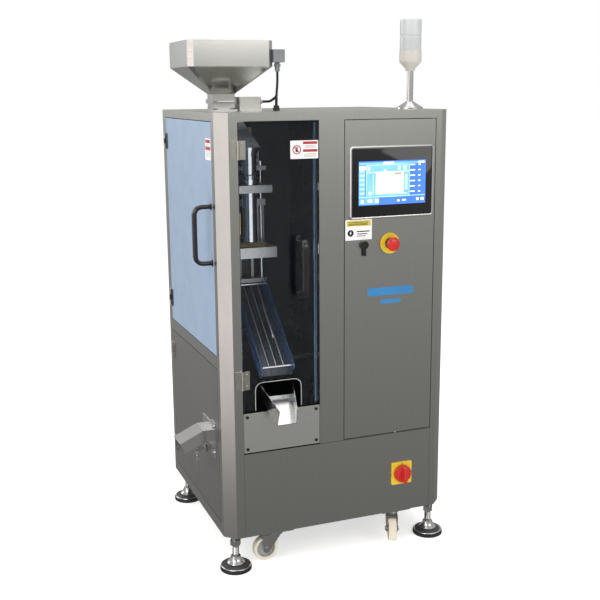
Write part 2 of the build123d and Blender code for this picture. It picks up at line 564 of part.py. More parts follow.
# two square bars under the tray carry it from the partition
with BuildPart(SLIDE_PLANE) as slide_bars:
    bar_low = -SLIDE_T - SLIDE_BAR
    for along in (60, 250):
        block(-SLIDE_W / 2, WALL_X - SLIDE_X, along - SLIDE_BAR / 2, along + SLIDE_BAR / 2, bar_low, -SLIDE_T)
with BuildPart(SLIDE_PLANE) as slide_guards:
    for side in (-1, 1):
        x0, x1 = sorted((side * SLIDE_W / 2, side * (SLIDE_W / 2 - GUARD_T)))
        block(x0, x1, 0, SLIDE_LEN, 0, SLIDE_WALL)
with BuildPart(SLIDE_PLANE) as slide_rods:
    inner = SLIDE_W / 2 - GUARD_T
    for along in (14, SLIDE_LEN - 14):
        rod((-inner, along, 26), (1, 0, 0), 2 * inner, 3)
    for across in (-22, 0, 22):
        rod((across, 12, 26), (0, 1, 0), SLIDE_LEN - 24, 2.5)
save("bag_slide", slide_tray, slide_bars, slide_guards, slide_rods)

SPOUT_Y = FRONT + 27.0                  # inlet of the spout
SPOUT_Z = BASE_Z + 405.0
SPOUT_RUN = SPOUT_LEN * cos(radians(SPOUT_SLOPE))
SPOUT_FALL = SPOUT_LEN * sin(radians(SPOUT_SLOPE))
SPOUT_TAPER = (SPOUT_W - SPOUT_TIP_W) / 2 / SPOUT_RUN
SPOUT_SIDE = Plane((SLIDE_X, SPOUT_Y, SPOUT_Z), x_dir=(0, -1, 0), z_dir=(-1, 0, 0))
SPOUT_TIP = SPOUT_REACH + SPOUT_Y - FRONT
SPOUT_FLOOR = SPOUT_SHEET / cos(radians(SPOUT_SLOPE))

with BuildPart() as spout_hollow:
    with BuildSketch(SPOUT_SIDE):
        with BuildLine():
            Polyline(
                (-5, SPOUT_FLOOR + 5 * SPOUT_FALL / SPOUT_RUN), (-5, 80), (SPOUT_TIP + 20, 80),
                (SPOUT_TIP + 20, SPOUT_FLOOR - (SPOUT_TIP + 20) * SPOUT_FALL / SPOUT_RUN), close=True,
            )
        make_face()
    extrude(amount=SPOUT_W, both=True)
    with BuildSketch(Plane((SLIDE_X, SPOUT_Y, SPOUT_Z - 100))):
        with BuildLine():
            far = SPOUT_TIP + 20
            wide, narrow = SPOUT_W / 2 - SPOUT_SHEET, SPOUT_W / 2 - SPOUT_SHEET - far * SPOUT_TAPER
            back = wide + 5 * SPOUT_TAPER
            Polyline((-back, 5), (back, 5), (narrow, -far), (-narrow, -far), close=True)
        make_face()
    extrude(amount=250, mode=Mode.INTERSECT)

with BuildPart() as outlet_spout:
    with BuildSketch(SPOUT_SIDE):
        with BuildLine():
            Polyline(
                (0, 0), (SPOUT_RUN, -SPOUT_FALL), (SPOUT_TIP, SPOUT_WALL + 6 - SPOUT_FALL),
                (0, SPOUT_WALL), close=True,
            )
        make_face()
    extrude(amount=SPOUT_W, both=True)
    with BuildSketch(Plane((SLIDE_X, SPOUT_Y, SPOUT_Z - 100))):
        with BuildLine():
            tip_half = SPOUT_W / 2 - SPOUT_TIP * SPOUT_TAPER
            Polyline(
                (-SPOUT_W / 2, 0), (SPOUT_W / 2, 0), (tip_half, -SPOUT_TIP), (-tip_half, -SPOUT_TIP),
                close=True,
            )
        make_face()
    extrude(amount=250, mode=Mode.INTERSECT)
    add(spout_hollow.part, mode=Mode.SUBTRACT)
    tab_top = SPOUT_Z - (SPOUT_Y - FRONT - SHEET - 2) * SPOUT_FALL / SPOUT_RUN
    block(SLIDE_X - 20, SLIDE_X + 20, FRONT + SHEET, FRONT + SHEET + 3, SILL_Z + SILL_H - 25, tab_top)
save("outlet_spout", outlet_spout)

# ================================================================= hinges and handles
KNUCKLE_R = 4.0
HINGE_PIN_R = 2.0
HINGE_OUT = KNUCKLE_R + SEAT            # hinge axis outside the cabinet face
LEAF_T = 2.5
LEAF_W = 21.0
HINGE_SIDE = SIDE_DOOR_REAR - REVEAL / 2
FRONT_HINGE = Plane((OPEN_L - 1 + REVEAL / 2, FRONT - HINGE_OUT, 0), x_dir=(-1, 0, 0), z_dir=(0, 0, 1))
SIDE_HINGE = Plane((LEFT - HINGE_OUT, HINGE_SIDE, 0), x_dir=(0, 1, 0), z_dir=(0, 0, 1))
FRONT_HINGE_Z = [(BASE_Z + 444, BASE_Z + 498), (TOP_Z - 123, TOP_Z - 73)]
UPPER_HINGE_Z = [(SIDE_RAIL_HIGH + 46, SIDE_RAIL_HIGH + 100), (TOP_Z - 120, TOP_Z - 72)]
LOWER_HINGE_Z = [(LOWER_DOOR_LOW + 45, LOWER_DOOR_LOW + 93), (SIDE_RAIL_LOW - 93, SIDE_RAIL_LOW - 45)]


def hinge_half(place, low, high, side):
    """One leaf of a butt hinge; side is 1 for the fixed leaf with the pin, -1 for the moving one.

    In the place's plane, X runs along the fixed leaf, Y outwards and Z along the pin.
    """
    third = (high - low) / 3
    spans = [(low + third, high - third)]
    if side == 1:
        spans = [(low, low + third - SEAT), (high - third + SEAT, high)]
    for start, end in spans:
        with BuildSketch(place.offset(start)) as knuckle:
            Circle(KNUCKLE_R)
            with Locations((side * LEAF_W / 4, LEAF_T / 2 - HINGE_OUT)):
                Rectangle(LEAF_W / 2, LEAF_T)
            if side == -1:
                Circle(HINGE_PIN_R + RUN, mode=Mode.SUBTRACT)
        extrude(knuckle.sketch, amount=end - start)
    with BuildSketch(place.offset(low)) as leaf:
        with Locations((side * (LEAF_W + KNUCKLE_R + 0.8) / 2, LEAF_T / 2 - HINGE_OUT)):
            Rectangle(LEAF_W - KNUCKLE_R - 0.8, LEAF_T)
    extrude(leaf.sketch, amount=high - low)
    if side == 1:
        with BuildSketch(place.offset(low)) as pin:
            Circle(HINGE_PIN_R)
        extrude(pin.sketch, amount=high - low)
    for height in (low + 10, high - 10):
        head = place.origin + place.x_dir * (side * (LEAF_W + 4) / 2) + UP * height
        rod(head + place.y_dir * (LEAF_T - HINGE_OUT), place.y_dir, 1.5, 3.6)


with BuildPart() as hinge_leaves:
    for low, high in FRONT_HINGE_Z:
        hinge_half(FRONT_HINGE, low, high, 1)
    for low, high in UPPER_HINGE_Z + LOWER_HINGE_Z:
        hinge_half(SIDE_HINGE, low, high, 1)
save("hinge_leaves", hinge_leaves)

HANDLE_PITCH = 156.0
HANDLE_OUT = 48.0
HANDLE_THICK = 12.0


def d_handle(foot, out):
    """Pull handle of oval section, standing on a door face above its lower foot."""
    top = foot + UP * HANDLE_PITCH
    with BuildLine() as centre_line:
        FilletPolyline(foot, foot + out * HANDLE_OUT, top + out * HANDLE_OUT, top, radius=22)
    with BuildSketch(Plane(foot, x_dir=UP, z_dir=out)) as section:
        RectangleRounded(HANDLE_THICK, 20, 5.5)
    sweep(section.sketch, path=centre_line.wire())


# ================================================================= viewing door
VIEW_HANDLE = Vector(OPEN_R - 61, FRONT, BASE_Z + 705)

with BuildPart() as viewing_door:
    with BuildSketch(FRONT_FACE):
        door_low = SILL_Z + 3 + SILL_H + 4
        door_high = OPEN_TOP - REVEAL
        with Locations(((OPEN_L + OPEN_R) / 2, (door_low + door_high) / 2)):
            RectangleRounded(DOOR_W - 2 * REVEAL, door_high - door_low, 4)
        with Locations((SLIDE_X - 4.5, door_low)):
            RectangleRounded(CUTOUT_W, 2 * CUTOUT_H, CUTOUT_R, mode=Mode.SUBTRACT)
    extrude(amount=-GLASS_T)
save("viewing_door", viewing_door)

with BuildPart() as view_handle:
    d_handle(VIEW_HANDLE, OUT_FRONT)
with BuildPart() as view_hinges:
    for low, high in FRONT_HINGE_Z:
        hinge_half(FRONT_HINGE, low, high, -1)
save("viewing_door_fittings", view_handle, view_hinges)

# ================================================================= side doors
DOOR_RIM = 16.0                         # depth of a door's folded rim
SIDE_HANDLE = Vector(LEFT, FRONT + 74, BASE_Z + 797)


def folded_leaf(x0, x1, y0, y1, z0, z1, inside):
    """Sheet door with a rim folded inwards all round; inside is the corner pair of its hollow."""
    block(x0, x1, y0, y1, z0, z1)
    block(*inside, z0 + SHEET, z1 - SHEET, mode=Mode.SUBTRACT)


side_low, side_high = SIDE_DOOR_FRONT + REVEAL, SIDE_DOOR_REAR - REVEAL
side_hollow = (LEFT + SHEET, LEFT + DOOR_RIM + 1, side_low + SHEET, side_high - SHEET)
with BuildPart() as upper_side_door:
    folded_leaf(
        LEFT, LEFT + DOOR_RIM, side_low, side_high,
        SIDE_RAIL_HIGH + REVEAL, OPEN_TOP - REVEAL, side_hollow,
    )
save("upper_side_door", upper_side_door)

with BuildPart() as side_handle:
    d_handle(SIDE_HANDLE, OUT_LEFT)
with BuildPart() as upper_hinges:
    for low, high in UPPER_HINGE_Z:
        hinge_half(SIDE_HINGE, low, high, -1)
save("upper_door_fittings", side_handle, upper_hinges)

DUCT_Y = FRONT + 172.5
DUCT_Z = BASE_Z + 274.0
LOCK_Y = FRONT + 197.0
LOCK_Z = BASE_Z + 215.0
LOCK_R = 8.0
with BuildPart() as lower_side_door:
    folded_leaf(
        LEFT, LEFT + DOOR_RIM, side_low, side_high,
        LOWER_DOOR_LOW + REVEAL, SIDE_RAIL_LOW - REVEAL, side_hollow,
    )
    duct_half = (DUCT_W - 4) / 2
    block(
        LEFT - 1, LEFT + SHEET + 1, DUCT_Y - duct_half, DUCT_Y + duct_half,
        DUCT_Z - DUCT_H / 2 + 2, DUCT_Z + DUCT_H / 2 - 2, mode=Mode.SUBTRACT,
    )
    rod((LEFT - 1, LOCK_Y, LOCK_Z), (1, 0, 0), SHEET + 2, LOCK_R + RUN, mode=Mode.SUBTRACT)
with BuildPart() as lower_hinges:
    for low, high in LOWER_HINGE_Z:
        hinge_half(SIDE_HINGE, low, high, -1)
with BuildPart() as lock_collar:
    rod((LEFT, LOCK_Y, LOCK_Z), OUT_LEFT, 2.5, 12)
    rod((LEFT, LOCK_Y, LOCK_Z), OUT_LEFT, 2.5, LOCK_R + RUN, mode=Mode.SUBTRACT)
save("lower_side_door", lower_side_door, lower_hinges, lock_collar)

with BuildPart() as lock_plug:
    rod((LEFT + 14, LOCK_Y, LOCK_Z), OUT_LEFT, 18, LOCK_R)
    block(LEFT + 14, LEFT + 17, LOCK_Y - 8, LOCK_Y + 8, LOCK_Z - 12, LOCK_Z + 34)
    block(LEFT - 12, LEFT - 4, LOCK_Y - 1, LOCK_Y + 1, LOCK_Z - 4, LOCK_Z + 4)
    with BuildSketch(Plane((LEFT - 22, LOCK_Y - 1, LOCK_Z), x_dir=(1, 0, 0), z_dir=(0, -1, 0))):
        Circle(11)
        with Locations((-6, 0)):
            Circle(3, mode=Mode.SUBTRACT)
    extrude(amount=-2)
with BuildPart() as spare_key:
    ring_centre = (LEFT - 28, LOCK_Y, LOCK_Z - 12)
    with Locations(Plane(ring_centre, z_dir=(1, 0, 0))):
        Torus(12, 1.3)
    with BuildSketch(Plane((LEFT - 29, LOCK_Y, LOCK_Z - 24), x_dir=(0, -1, 0), z_dir=(-1, 0, 0))):
        with Locations((0, -10)):
            Circle(11)
        with Locations((0, -34)):
            Rectangle(7, 32)
        with Locations((0, -4)):
            Circle(3, mode=Mode.SUBTRACT)
    extrude(amount=-2)
save("side_lock", lock_plug, spare_key)

# duct welded to a flange that is bolted on the lower side door
with BuildPart() as reject_duct:
    with BuildLine() as duct_line:
        Polyline(
            (LEFT, DUCT_Y, DUCT_Z), (LEFT - DUCT_OUT, DUCT_Y, DUCT_Z),
            (LEFT - DUCT_OUT - DUCT_RUN, DUCT_Y, DUCT_Z - DUCT_DROP),
        )
    with BuildSketch(Plane((LEFT, DUCT_Y, DUCT_Z), x_dir=(0, -1, 0), z_dir=(-1, 0, 0))) as duct_section:
        Rectangle(DUCT_W, DUCT_H)
        Rectangle(DUCT_W - 4, DUCT_H - 4, mode=Mode.SUBTRACT)
    sweep(duct_section.sketch, path=duct_line.wire(), transition=Transition.RIGHT)
    with BuildSketch(LEFT_FACE) as flange:
        with Locations((-DUCT_Y, DUCT_Z + 7)):
            Rectangle(DUCT_W + 18, 73)
        with Locations((-DUCT_Y + DUCT_W / 2 + 25, DUCT_Z - 2)):
            Rectangle(47, 107)
        with Locations((-DUCT_Y, DUCT_Z)):
            Rectangle(DUCT_W - 4, DUCT_H - 4, mode=Mode.SUBTRACT)
    extrude(flange.sketch, amount=SHEET)
    for bolt_z in (DUCT_Z - 42, DUCT_Z + 38):
        screw_head(Vector(LEFT - SHEET, DUCT_Y - DUCT_W / 2 - 34, bolt_z), OUT_LEFT, radius=5, height=4)
save("reject_duct", reject_duct)

# ================================================================= control door
CTRL_MID = (CTRL_L + CTRL_R) / 2
HMI_X, HMI_Z = CTRL_MID + 3.5, TOP_Z - 199.0
HMI_W, HMI_H = 262.0, 202.0             # bezel of the operator panel
HMI_BODY_W, HMI_BODY_H = 240.0, 180.0
BEZEL_T = 6.0
BEZEL_RIM = 5.0
ESTOP_X, ESTOP_Z = CTRL_L + 143.0, TOP_Z - 374.0
ESTOP_BODY_R = 11.0
ESTOP_STEM_R = 9.0
LATCH_X, LATCH_Z = CTRL_L + 61.0, TOP_Z - 374.0
LATCH_R = 9.0
CTRL_RIM = 20.0

with BuildPart() as control_door:
    x0, x1 = CTRL_L + REVEAL, CTRL_R - REVEAL
    z0, z1 = SILL_Z + 1 + REVEAL, OPEN_TOP - REVEAL
    block(x0, x1, FRONT, FRONT + CTRL_RIM, z0, z1)
    block(
        x0 + SHEET, x1 - SHEET, FRONT + SHEET, FRONT + CTRL_RIM + 1, z0 + SHEET, z1 - SHEET,
        mode=Mode.SUBTRACT,
    )
    block(
        HMI_X - HMI_BODY_W / 2, HMI_X + HMI_BODY_W / 2, FRONT - 1, FRONT + SHEET + 1,
        HMI_Z - HMI_BODY_H / 2, HMI_Z + HMI_BODY_H / 2, mode=Mode.SUBTRACT,
    )
    rod((ESTOP_X, FRONT + SHEET + 1, ESTOP_Z), OUT_FRONT, SHEET + 2, ESTOP_BODY_R + RUN, mode=Mode.SUBTRACT)
    rod((LATCH_X, FRONT + SHEET + 1, LATCH_Z), OUT_FRONT, SHEET + 2, LATCH_R + RUN, mode=Mode.SUBTRACT)
    # pivot pins at the right edge
    rod((PIVOT_X, PIVOT_Y, z1 - SHEET), UP, SHEET + REVEAL + 8, PIVOT_R)
    rod((PIVOT_X, PIVOT_Y, z0 + SHEET), -UP, SHEET + REVEAL + 8, PIVOT_R)
save("control_door", control_door)

with BuildPart() as hmi_case:
    with BuildSketch(FRONT_FACE):
        with Locations((HMI_X, HMI_Z)):
            RectangleRounded(HMI_W, HMI_H, 9)
    extrude(amount=BEZEL_T)
    block(
        HMI_X - HMI_BODY_W / 2, HMI_X + HMI_BODY_W / 2, FRONT, FRONT + 42,
        HMI_Z - HMI_BODY_H / 2, HMI_Z + HMI_BODY_H / 2,
    )
    with BuildSketch(FRONT_FACE.offset(BEZEL_T)):
        with Locations((HMI_X, HMI_Z)):
            RectangleRounded(HMI_W - 2 * BEZEL_RIM, HMI_H - 2 * BEZEL_RIM, 4)
    extrude(amount=-3, mode=Mode.SUBTRACT)
with BuildPart() as hmi_glass:
    with BuildSketch(FRONT_FACE.offset(BEZEL_T - 3)):
        with Locations((HMI_X, HMI_Z)):
            RectangleRounded(HMI_W - 2 * BEZEL_RIM, HMI_H - 2 * BEZEL_RIM, 4)
    extrude(amount=2.4)
save("hmi_panel", hmi_case, hmi_glass)

ESTOP_AT = Vector(ESTOP_X, FRONT, ESTOP_Z)
with BuildPart() as estop_collar:
    rod(ESTOP_AT, OUT_FRONT, 3, 30)
    rod(ESTOP_AT, OUT_FRONT, 12, 16)
    rod(ESTOP_AT, -OUT_FRONT, 30, ESTOP_BODY_R)
    rod(ESTOP_AT + Vector(0, 2 + SHEET, 0), -OUT_FRONT, 26, 16)
    rod(ESTOP_AT + OUT_FRONT * 13, -OUT_FRONT, 35, ESTOP_STEM_R + RUN, mode=Mode.SUBTRACT)
save("estop_collar", estop_collar)

CROWN_R = 29.0                          # crown of the mushroom, a sphere cap 20 mm in radius
CROWN_TOP = 33.0
crown_half = asin(20 / CROWN_R)
crown = [
    (CROWN_R * sin(turn), CROWN_R - CROWN_TOP - CROWN_R * cos(turn))
    for turn in (crown_half, crown_half / 2, 0)
]
with BuildPart() as estop_button:
    with BuildSketch(Plane((ESTOP_X, FRONT, ESTOP_Z), x_dir=(1, 0, 0), z_dir=(0, 0, 1))):
        with BuildLine():
            Polyline((0, 14), (ESTOP_STEM_R, 14), (ESTOP_STEM_R, -18), (17, -18), (20, -21), crown[0])
            ThreePointArc(*crown)
            Line(crown[-1], (0, 14))
        make_face()
    revolve(axis=Axis((ESTOP_X, FRONT, ESTOP_Z), (0, 1, 0)))
save("estop_button", estop_button)

LATCH_AT = Vector(LATCH_X, FRONT, LATCH_Z)
with BuildPart() as door_latch:
    rod(LATCH_AT + Vector(0, 24, 0), OUT_FRONT, 26, LATCH_R)
    rod(LATCH_AT + OUT_FRONT * SEAT, OUT_FRONT, 8, 12)
    block(LATCH_X - 4.5, LATCH_X + 4.5, FRONT - 8, FRONT - 3, LATCH_Z - 31, LATCH_Z)
    block(LATCH_X - 8, LATCH_X + 8, FRONT + 21, FRONT + 24, LATCH_Z - 70, LATCH_Z + 8)
save("door_latch", door_latch)

# ================================================================= main switch
SWITCH_AT = Vector(SWITCH_X, FRONT, SWITCH_Z)
SHAFT_R = 7.0
with BuildPart() as switch_plate:
    with BuildSketch(FRONT_FACE):
        with Locations((SWITCH_X, SWITCH_Z)):
            RectangleRounded(67, 70, 4)
    extrude(amount=4)
    rod(SWITCH_AT, -OUT_FRONT, 10, SWITCH_NECK_R - RUN)
    block(SWITCH_X - 30, SWITCH_X + 30, FRONT + SHEET, FRONT + 50, SWITCH_Z - 30, SWITCH_Z + 30)
    rod(SWITCH_AT + OUT_FRONT * 5, -OUT_FRONT, 40, SHAFT_R + RUN, mode=Mode.SUBTRACT)
save("switch_plate", switch_plate)

with BuildPart() as switch_knob:
    rod(SWITCH_AT + OUT_FRONT * (4 + SEAT), OUT_FRONT, 13, 27)
    fillet(switch_knob.edges().filter_by(GeomType.CIRCLE).sort_by(Axis.Y)[0], radius=2.5)
    block(SWITCH_X - 6, SWITCH_X + 6, FRONT - 34, FRONT - 16, SWITCH_Z - 24, SWITCH_Z + 24)
    rod(SWITCH_AT + OUT_FRONT * 6, -OUT_FRONT, 36, SHAFT_R)
save("switch_knob", switch_knob)

# ================================================================= hopper and slide gate
RIM_Z = TOP_Z + 193.0
BOX_Z = TOP_Z + 122.0                   # box above, pyramid below
NECK_Z = TOP_Z + 47.0
HOP_CORNER = 14.0


def hopper_outline(height, width, depth, corner):
    """Rectangle with cut corners round the hopper axis at a height."""
    with BuildSketch(Plane((HOP_X, HOP_Y, height))) as outline:
        Rectangle(width, depth)
        chamfer(outline.vertices(), corner)
    return outline.sketch


with BuildPart() as hopper:
    for inset, mode in ((0.0, Mode.ADD), (SHEET, Mode.SUBTRACT)):
        wide = (HOPPER_W - 2 * inset, HOPPER_D - 2 * inset, HOP_CORNER)
        narrow = (THROAT_W - 2 * inset, THROAT_D - 2 * inset, 3.0)
        extrude(hopper_outline(BOX_Z, *wide), amount=RIM_Z - BOX_Z, mode=mode)
        loft([hopper_outline(NECK_Z, *narrow), hopper_outline(BOX_Z, *wide)], ruled=True, mode=mode)
save("hopper", hopper)

GATE_Z = TOP_Z + 27.0                   # middle of the gate slot
GATE_T = 2.4
HOUSING_W, HOUSING_D = THROAT_W + 6, THROAT_D + 14
SLOT_HALF = HOUSING_W / 2 - 3.0
with BuildPart() as hopper_throat:
    block(
        HOP_X - THROAT_W / 2, HOP_X + THROAT_W / 2, HOP_Y - THROAT_D / 2, HOP_Y + THROAT_D / 2,
        TOP_Z, NECK_Z,
    )
    block(HOP_X - HOUSING_W / 2, HOP_X + HOUSING_W / 2, HOP_Y - 44, HOP_Y + 44, TOP_Z, TOP_Z + 4)
    block(
        HOP_X - HOUSING_W / 2, HOP_X + HOUSING_W / 2, HOP_Y - HOUSING_D / 2, HOP_Y + HOUSING_D / 2,
        GATE_Z - 6, GATE_Z + 6,
    )
    block(
        HOP_X - THROAT_W / 2 + SHEET, HOP_X + THROAT_W / 2 - SHEET,
        HOP_Y - THROAT_D / 2 + SHEET, HOP_Y + THROAT_D / 2 - SHEET, TOP_Z, NECK_Z, mode=Mode.SUBTRACT,
    )
    block(
        HOP_X - SLOT_HALF, HOP_X + SLOT_HALF, HOP_Y - HOUSING_D, HOP_Y + THROAT_D / 2 + 2,
        GATE_Z - GATE_T / 2 - SEAT, GATE_Z + GATE_T / 2 + SEAT, mode=Mode.SUBTRACT,
    )
save("hopper_throat", hopper_throat)

GATE_FRONT = HOP_Y - HOUSING_D / 2 - 8
with BuildPart() as slide_gate:
    block(
        HOP_X - SLOT_HALF + SEAT, HOP_X + SLOT_HALF - SEAT, GATE_FRONT, HOP_Y + THROAT_D / 2 + 1,
        GATE_Z - GATE_T / 2, GATE_Z + GATE_T / 2,
    )
    with BuildLine() as pull:
        FilletPolyline(
            (HOP_X - 25, GATE_FRONT + 6, GATE_Z), (HOP_X - 25, GATE_FRONT - 24, GATE_Z),
            (HOP_X + 25, GATE_FRONT - 24, GATE_Z), (HOP_X + 25, GATE_FRONT + 6, GATE_Z), radius=8,
        )
    with BuildSketch(Plane((HOP_X - 25, GATE_FRONT + 6, GATE_Z), z_dir=OUT_FRONT)) as wire:
        Circle(3)
    sweep(wire.sketch, path=pull.wire())
save("slide_gate", slide_gate)

# ================================================================= feeder drive and level sensor
FEED_X0 = HOP_X + THROAT_W / 2 + 6.5    # beside the throat housing
FEED_X1 = FEED_X0 + 64.5
FEED_Y = HOP_Y - 21.0
FEED_BASE_T = 9.0
FEED_TOP = TOP_Z + 39.0
with BuildPart() as feeder_box:
    block(FEED_X0 - 1.5, FEED_X1 + 1.5, FEED_Y - 32, FEED_Y + 32, TOP_Z, TOP_Z + FEED_BASE_T)
    block(FEED_X0, FEED_X1, FEED_Y - 29, FEED_Y + 29, TOP_Z + FEED_BASE_T, FEED_TOP)
    fillet(feeder_box.edges().filter_by(Axis.Z).group_by(Axis.Z)[-1], radius=3)
    rod((FEED_X1, FEED_Y, TOP_Z + 25), (1, 0, 0), 12, 7)
save("feeder_box", feeder_box)

SENSOR_LOW, SENSOR_HIGH = RIM_Z - 59.0, RIM_Z - 24.0
SENSOR_GLAND_Z = SENSOR_LOW - 25.0
with BuildPart() as level_sensor:
    block(SENSOR_X - 17, SENSOR_X + 17, SENSOR_Y - 20, SENSOR_Y + 20, SENSOR_LOW, SENSOR_HIGH)
    fillet(level_sensor.edges().filter_by(Axis.Z), radius=3)
    rod((SENSOR_X, SENSOR_Y, SENSOR_LOW), -UP, 25, 7)
    with BuildSketch(Plane.XY.offset(SENSOR_LOW - 12)):
        with Locations((SENSOR_X, SENSOR_Y)):
            RegularPolygon(radius=10, side_count=6)
    extrude(amount=8)
save("level_sensor", level_sensor)

CONDUIT_R = 4.0
GLAND_TOP = TOP_Z + 15.0
with BuildPart() as glands:
    for x, y in (GLAND_1, GLAND_2):
        rod((x, y, TOP_Z - 12), UP, GLAND_TOP - TOP_Z + 12, GLAND_R - 2)
        with BuildSketch(Plane.XY.offset(TOP_Z)):
            with Locations((x, y)):
                RegularPolygon(radius=GLAND_R + 1.5, side_count=6)
        extrude(amount=8)
with BuildPart() as sensor_conduit:
    with BuildLine() as drop:
        FilletPolyline(
            (SENSOR_X, SENSOR_Y, SENSOR_GLAND_Z), (SENSOR_X, SENSOR_Y, SENSOR_GLAND_Z - 32),
            (*GLAND_1, GLAND_TOP + 30), (*GLAND_1, GLAND_TOP), radius=50,
        )
    with BuildSketch(Plane((SENSOR_X, SENSOR_Y, SENSOR_GLAND_Z), z_dir=-UP)) as tube:
        Circle(CONDUIT_R)
    sweep(tube.sketch, path=drop.wire())
with BuildPart() as feeder_conduit:
    start = Vector(FEED_X1 + 12, FEED_Y, TOP_Z + 25)
    with BuildLine() as bend:
        FilletPolyline(
            start, start + Vector(26, 0, 0), start + Vector(38, -22, 14),
            (*GLAND_2, TOP_Z + 41), (*GLAND_2, GLAND_TOP), radius=[11, 9, 8],
        )
    with BuildSketch(Plane(start, z_dir=(1, 0, 0))) as tube:
        Circle(CONDUIT_R)
    sweep(tube.sketch, path=bend.wire())
save("flexible_conduits", glands, sensor_conduit, feeder_conduit)

# ================================================================= signal tower
TOWER_X, TOWER_Y = RIGHT - 47.0, FRONT + 170.0
TOWER_R = 33.0
MAST_TOP = TOP_Z + 109.0
with BuildPart() as tower_mast:
    with BuildSketch(Plane((TOWER_X, TOWER_Y, TOP_Z), x_dir=(1, 0, 0), z_dir=(0, -1, 0))):
        with BuildLine():
            Polyline(
                (0, 0), (39.5, 0), (39.5, 4), (36, 6), (15, 19), (13, 21), (10, 22), (10, 109), (0, 109),
                close=True,
            )
        make_face()
    revolve(axis=Axis((TOWER_X, TOWER_Y, TOP_Z), (0, 0, 1)))
save("tower_mast", tower_mast)

with BuildPart() as tower_base:
    with BuildSketch(Plane((TOWER_X, TOWER_Y, MAST_TOP), x_dir=(1, 0, 0), z_dir=(0, -1, 0))):
        with BuildLine():
            Polyline(
                (0, 0), (12, 0), (15, 8), (TOWER_R - 2, 25), (TOWER_R, 28), (TOWER_R, 60), (0, 60),
                close=True,
            )
        make_face()
    revolve(axis=Axis((TOWER_X, TOWER_Y, MAST_TOP), (0, 0, 1)))
with BuildPart() as tower_lenses:
    rod((TOWER_X, TOWER_Y, MAST_TOP + 60), UP, 42, TOWER_R - 1)
    rod((TOWER_X, TOWER_Y, MAST_TOP + 102), UP, 2, TOWER_R - 3)
    rod((TOWER_X, TOWER_Y, MAST_TOP + 104), UP, 45, TOWER_R - 1)
    fillet(tower_lenses.edges().filter_by(GeomType.CIRCLE).sort_by(Axis.Z)[-1], radius=5)
save("tower_lights", tower_base, tower_lenses)

# ================================================================= electrics
TRAY_X0, TRAY_X1 = WALL_X + WALL_T + 12, RIGHT - 52
TRAY_Y = REAR - 70.0                    # front face of the mounting plate
TRAY_Z0, TRAY_Z1 = BASE_Z + 300, TOP_Z - 130
TRAY_T = 3.0
with BuildPart() as tray:
    block(TRAY_X0, TRAY_X1, TRAY_Y, TRAY_Y + TRAY_T, TRAY_Z0, TRAY_Z1)
    for x in (TRAY_X0 + 20, TRAY_X1 - 20):
        for z in (TRAY_Z0 + 20, TRAY_Z1 - 20):
            rod((x, TRAY_Y + TRAY_T, z), (0, 1, 0), REAR - SHEET - TRAY_Y - TRAY_T, 6)
with BuildPart() as modules:
    for z in (TRAY_Z1 - 60, TRAY_Z1 - 260, TRAY_Z0 + 180, TRAY_Z0 + 20):
        block(TRAY_X0 + 10, TRAY_X1 - 10, TRAY_Y - 50, TRAY_Y, z, z + 40)
    block(TRAY_X0 + 20, TRAY_X0 + 150, TRAY_Y - 75, TRAY_Y, TRAY_Z1 - 205, TRAY_Z1 - 75)
    block(TRAY_X0 + 165, TRAY_X0 + 245, TRAY_Y - 90, TRAY_Y, TRAY_Z1 - 205, TRAY_Z1 - 75)
    for index in range(8):
        x = TRAY_X0 + 20 + index * 24
        block(x, x + 22, TRAY_Y - 65, TRAY_Y, TRAY_Z0 + 240, TRAY_Z0 + 330)
    for index in range(24):
        x = TRAY_X0 + 20 + index * 9
        block(x, x + 8, TRAY_Y - 40, TRAY_Y, TRAY_Z0 + 90, TRAY_Z0 + 150)
save("electrics_plate", tray, modules)

# ================================================================= screws of the cabinet
with BuildPart() as panel_screws:
    for x in (OPEN_L + 12, OPEN_R - 12):
        for z in (SILL_Z + 14, SILL_Z + SILL_H - 8):
            screw_head(Vector(x, FRONT, z), OUT_FRONT)
    for x in (HOP_X - 26, HOP_X + 26):
        for y in (HOP_Y - 37, HOP_Y + 37):
            screw_head(Vector(x, y, TOP_Z + 4), UP)
    for x in (CAB_X - 330, CAB_X - 110, CAB_X + 110, CAB_X + 330):
        for z in (BASE_Z + 15, TOP_Z - 12):
            screw_head(Vector(x, REAR, z), Vector(0, 1, 0))
    for y in (CAB_Y - 240, CAB_Y, CAB_Y + 280):
        for z in (BASE_Z + 15, TOP_Z - 12):
            screw_head(Vector(RIGHT, y, z), Vector(1, 0, 0))
save("panel_screws", panel_screws)
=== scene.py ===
import bmesh
import bpy
import numpy as np
from mathutils import Matrix, Vector


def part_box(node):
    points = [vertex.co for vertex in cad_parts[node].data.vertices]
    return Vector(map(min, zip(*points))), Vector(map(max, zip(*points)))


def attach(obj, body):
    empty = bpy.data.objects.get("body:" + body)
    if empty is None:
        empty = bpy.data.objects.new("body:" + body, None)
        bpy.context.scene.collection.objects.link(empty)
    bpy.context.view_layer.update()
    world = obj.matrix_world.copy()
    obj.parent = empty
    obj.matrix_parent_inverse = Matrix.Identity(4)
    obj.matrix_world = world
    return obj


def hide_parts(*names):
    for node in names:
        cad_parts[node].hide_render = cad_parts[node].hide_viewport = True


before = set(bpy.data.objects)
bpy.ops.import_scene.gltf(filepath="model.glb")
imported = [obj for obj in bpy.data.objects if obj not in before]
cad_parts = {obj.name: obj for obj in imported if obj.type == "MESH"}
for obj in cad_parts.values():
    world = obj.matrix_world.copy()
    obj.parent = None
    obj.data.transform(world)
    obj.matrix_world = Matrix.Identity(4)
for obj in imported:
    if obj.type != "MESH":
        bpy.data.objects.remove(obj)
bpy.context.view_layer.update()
MM = 0.001

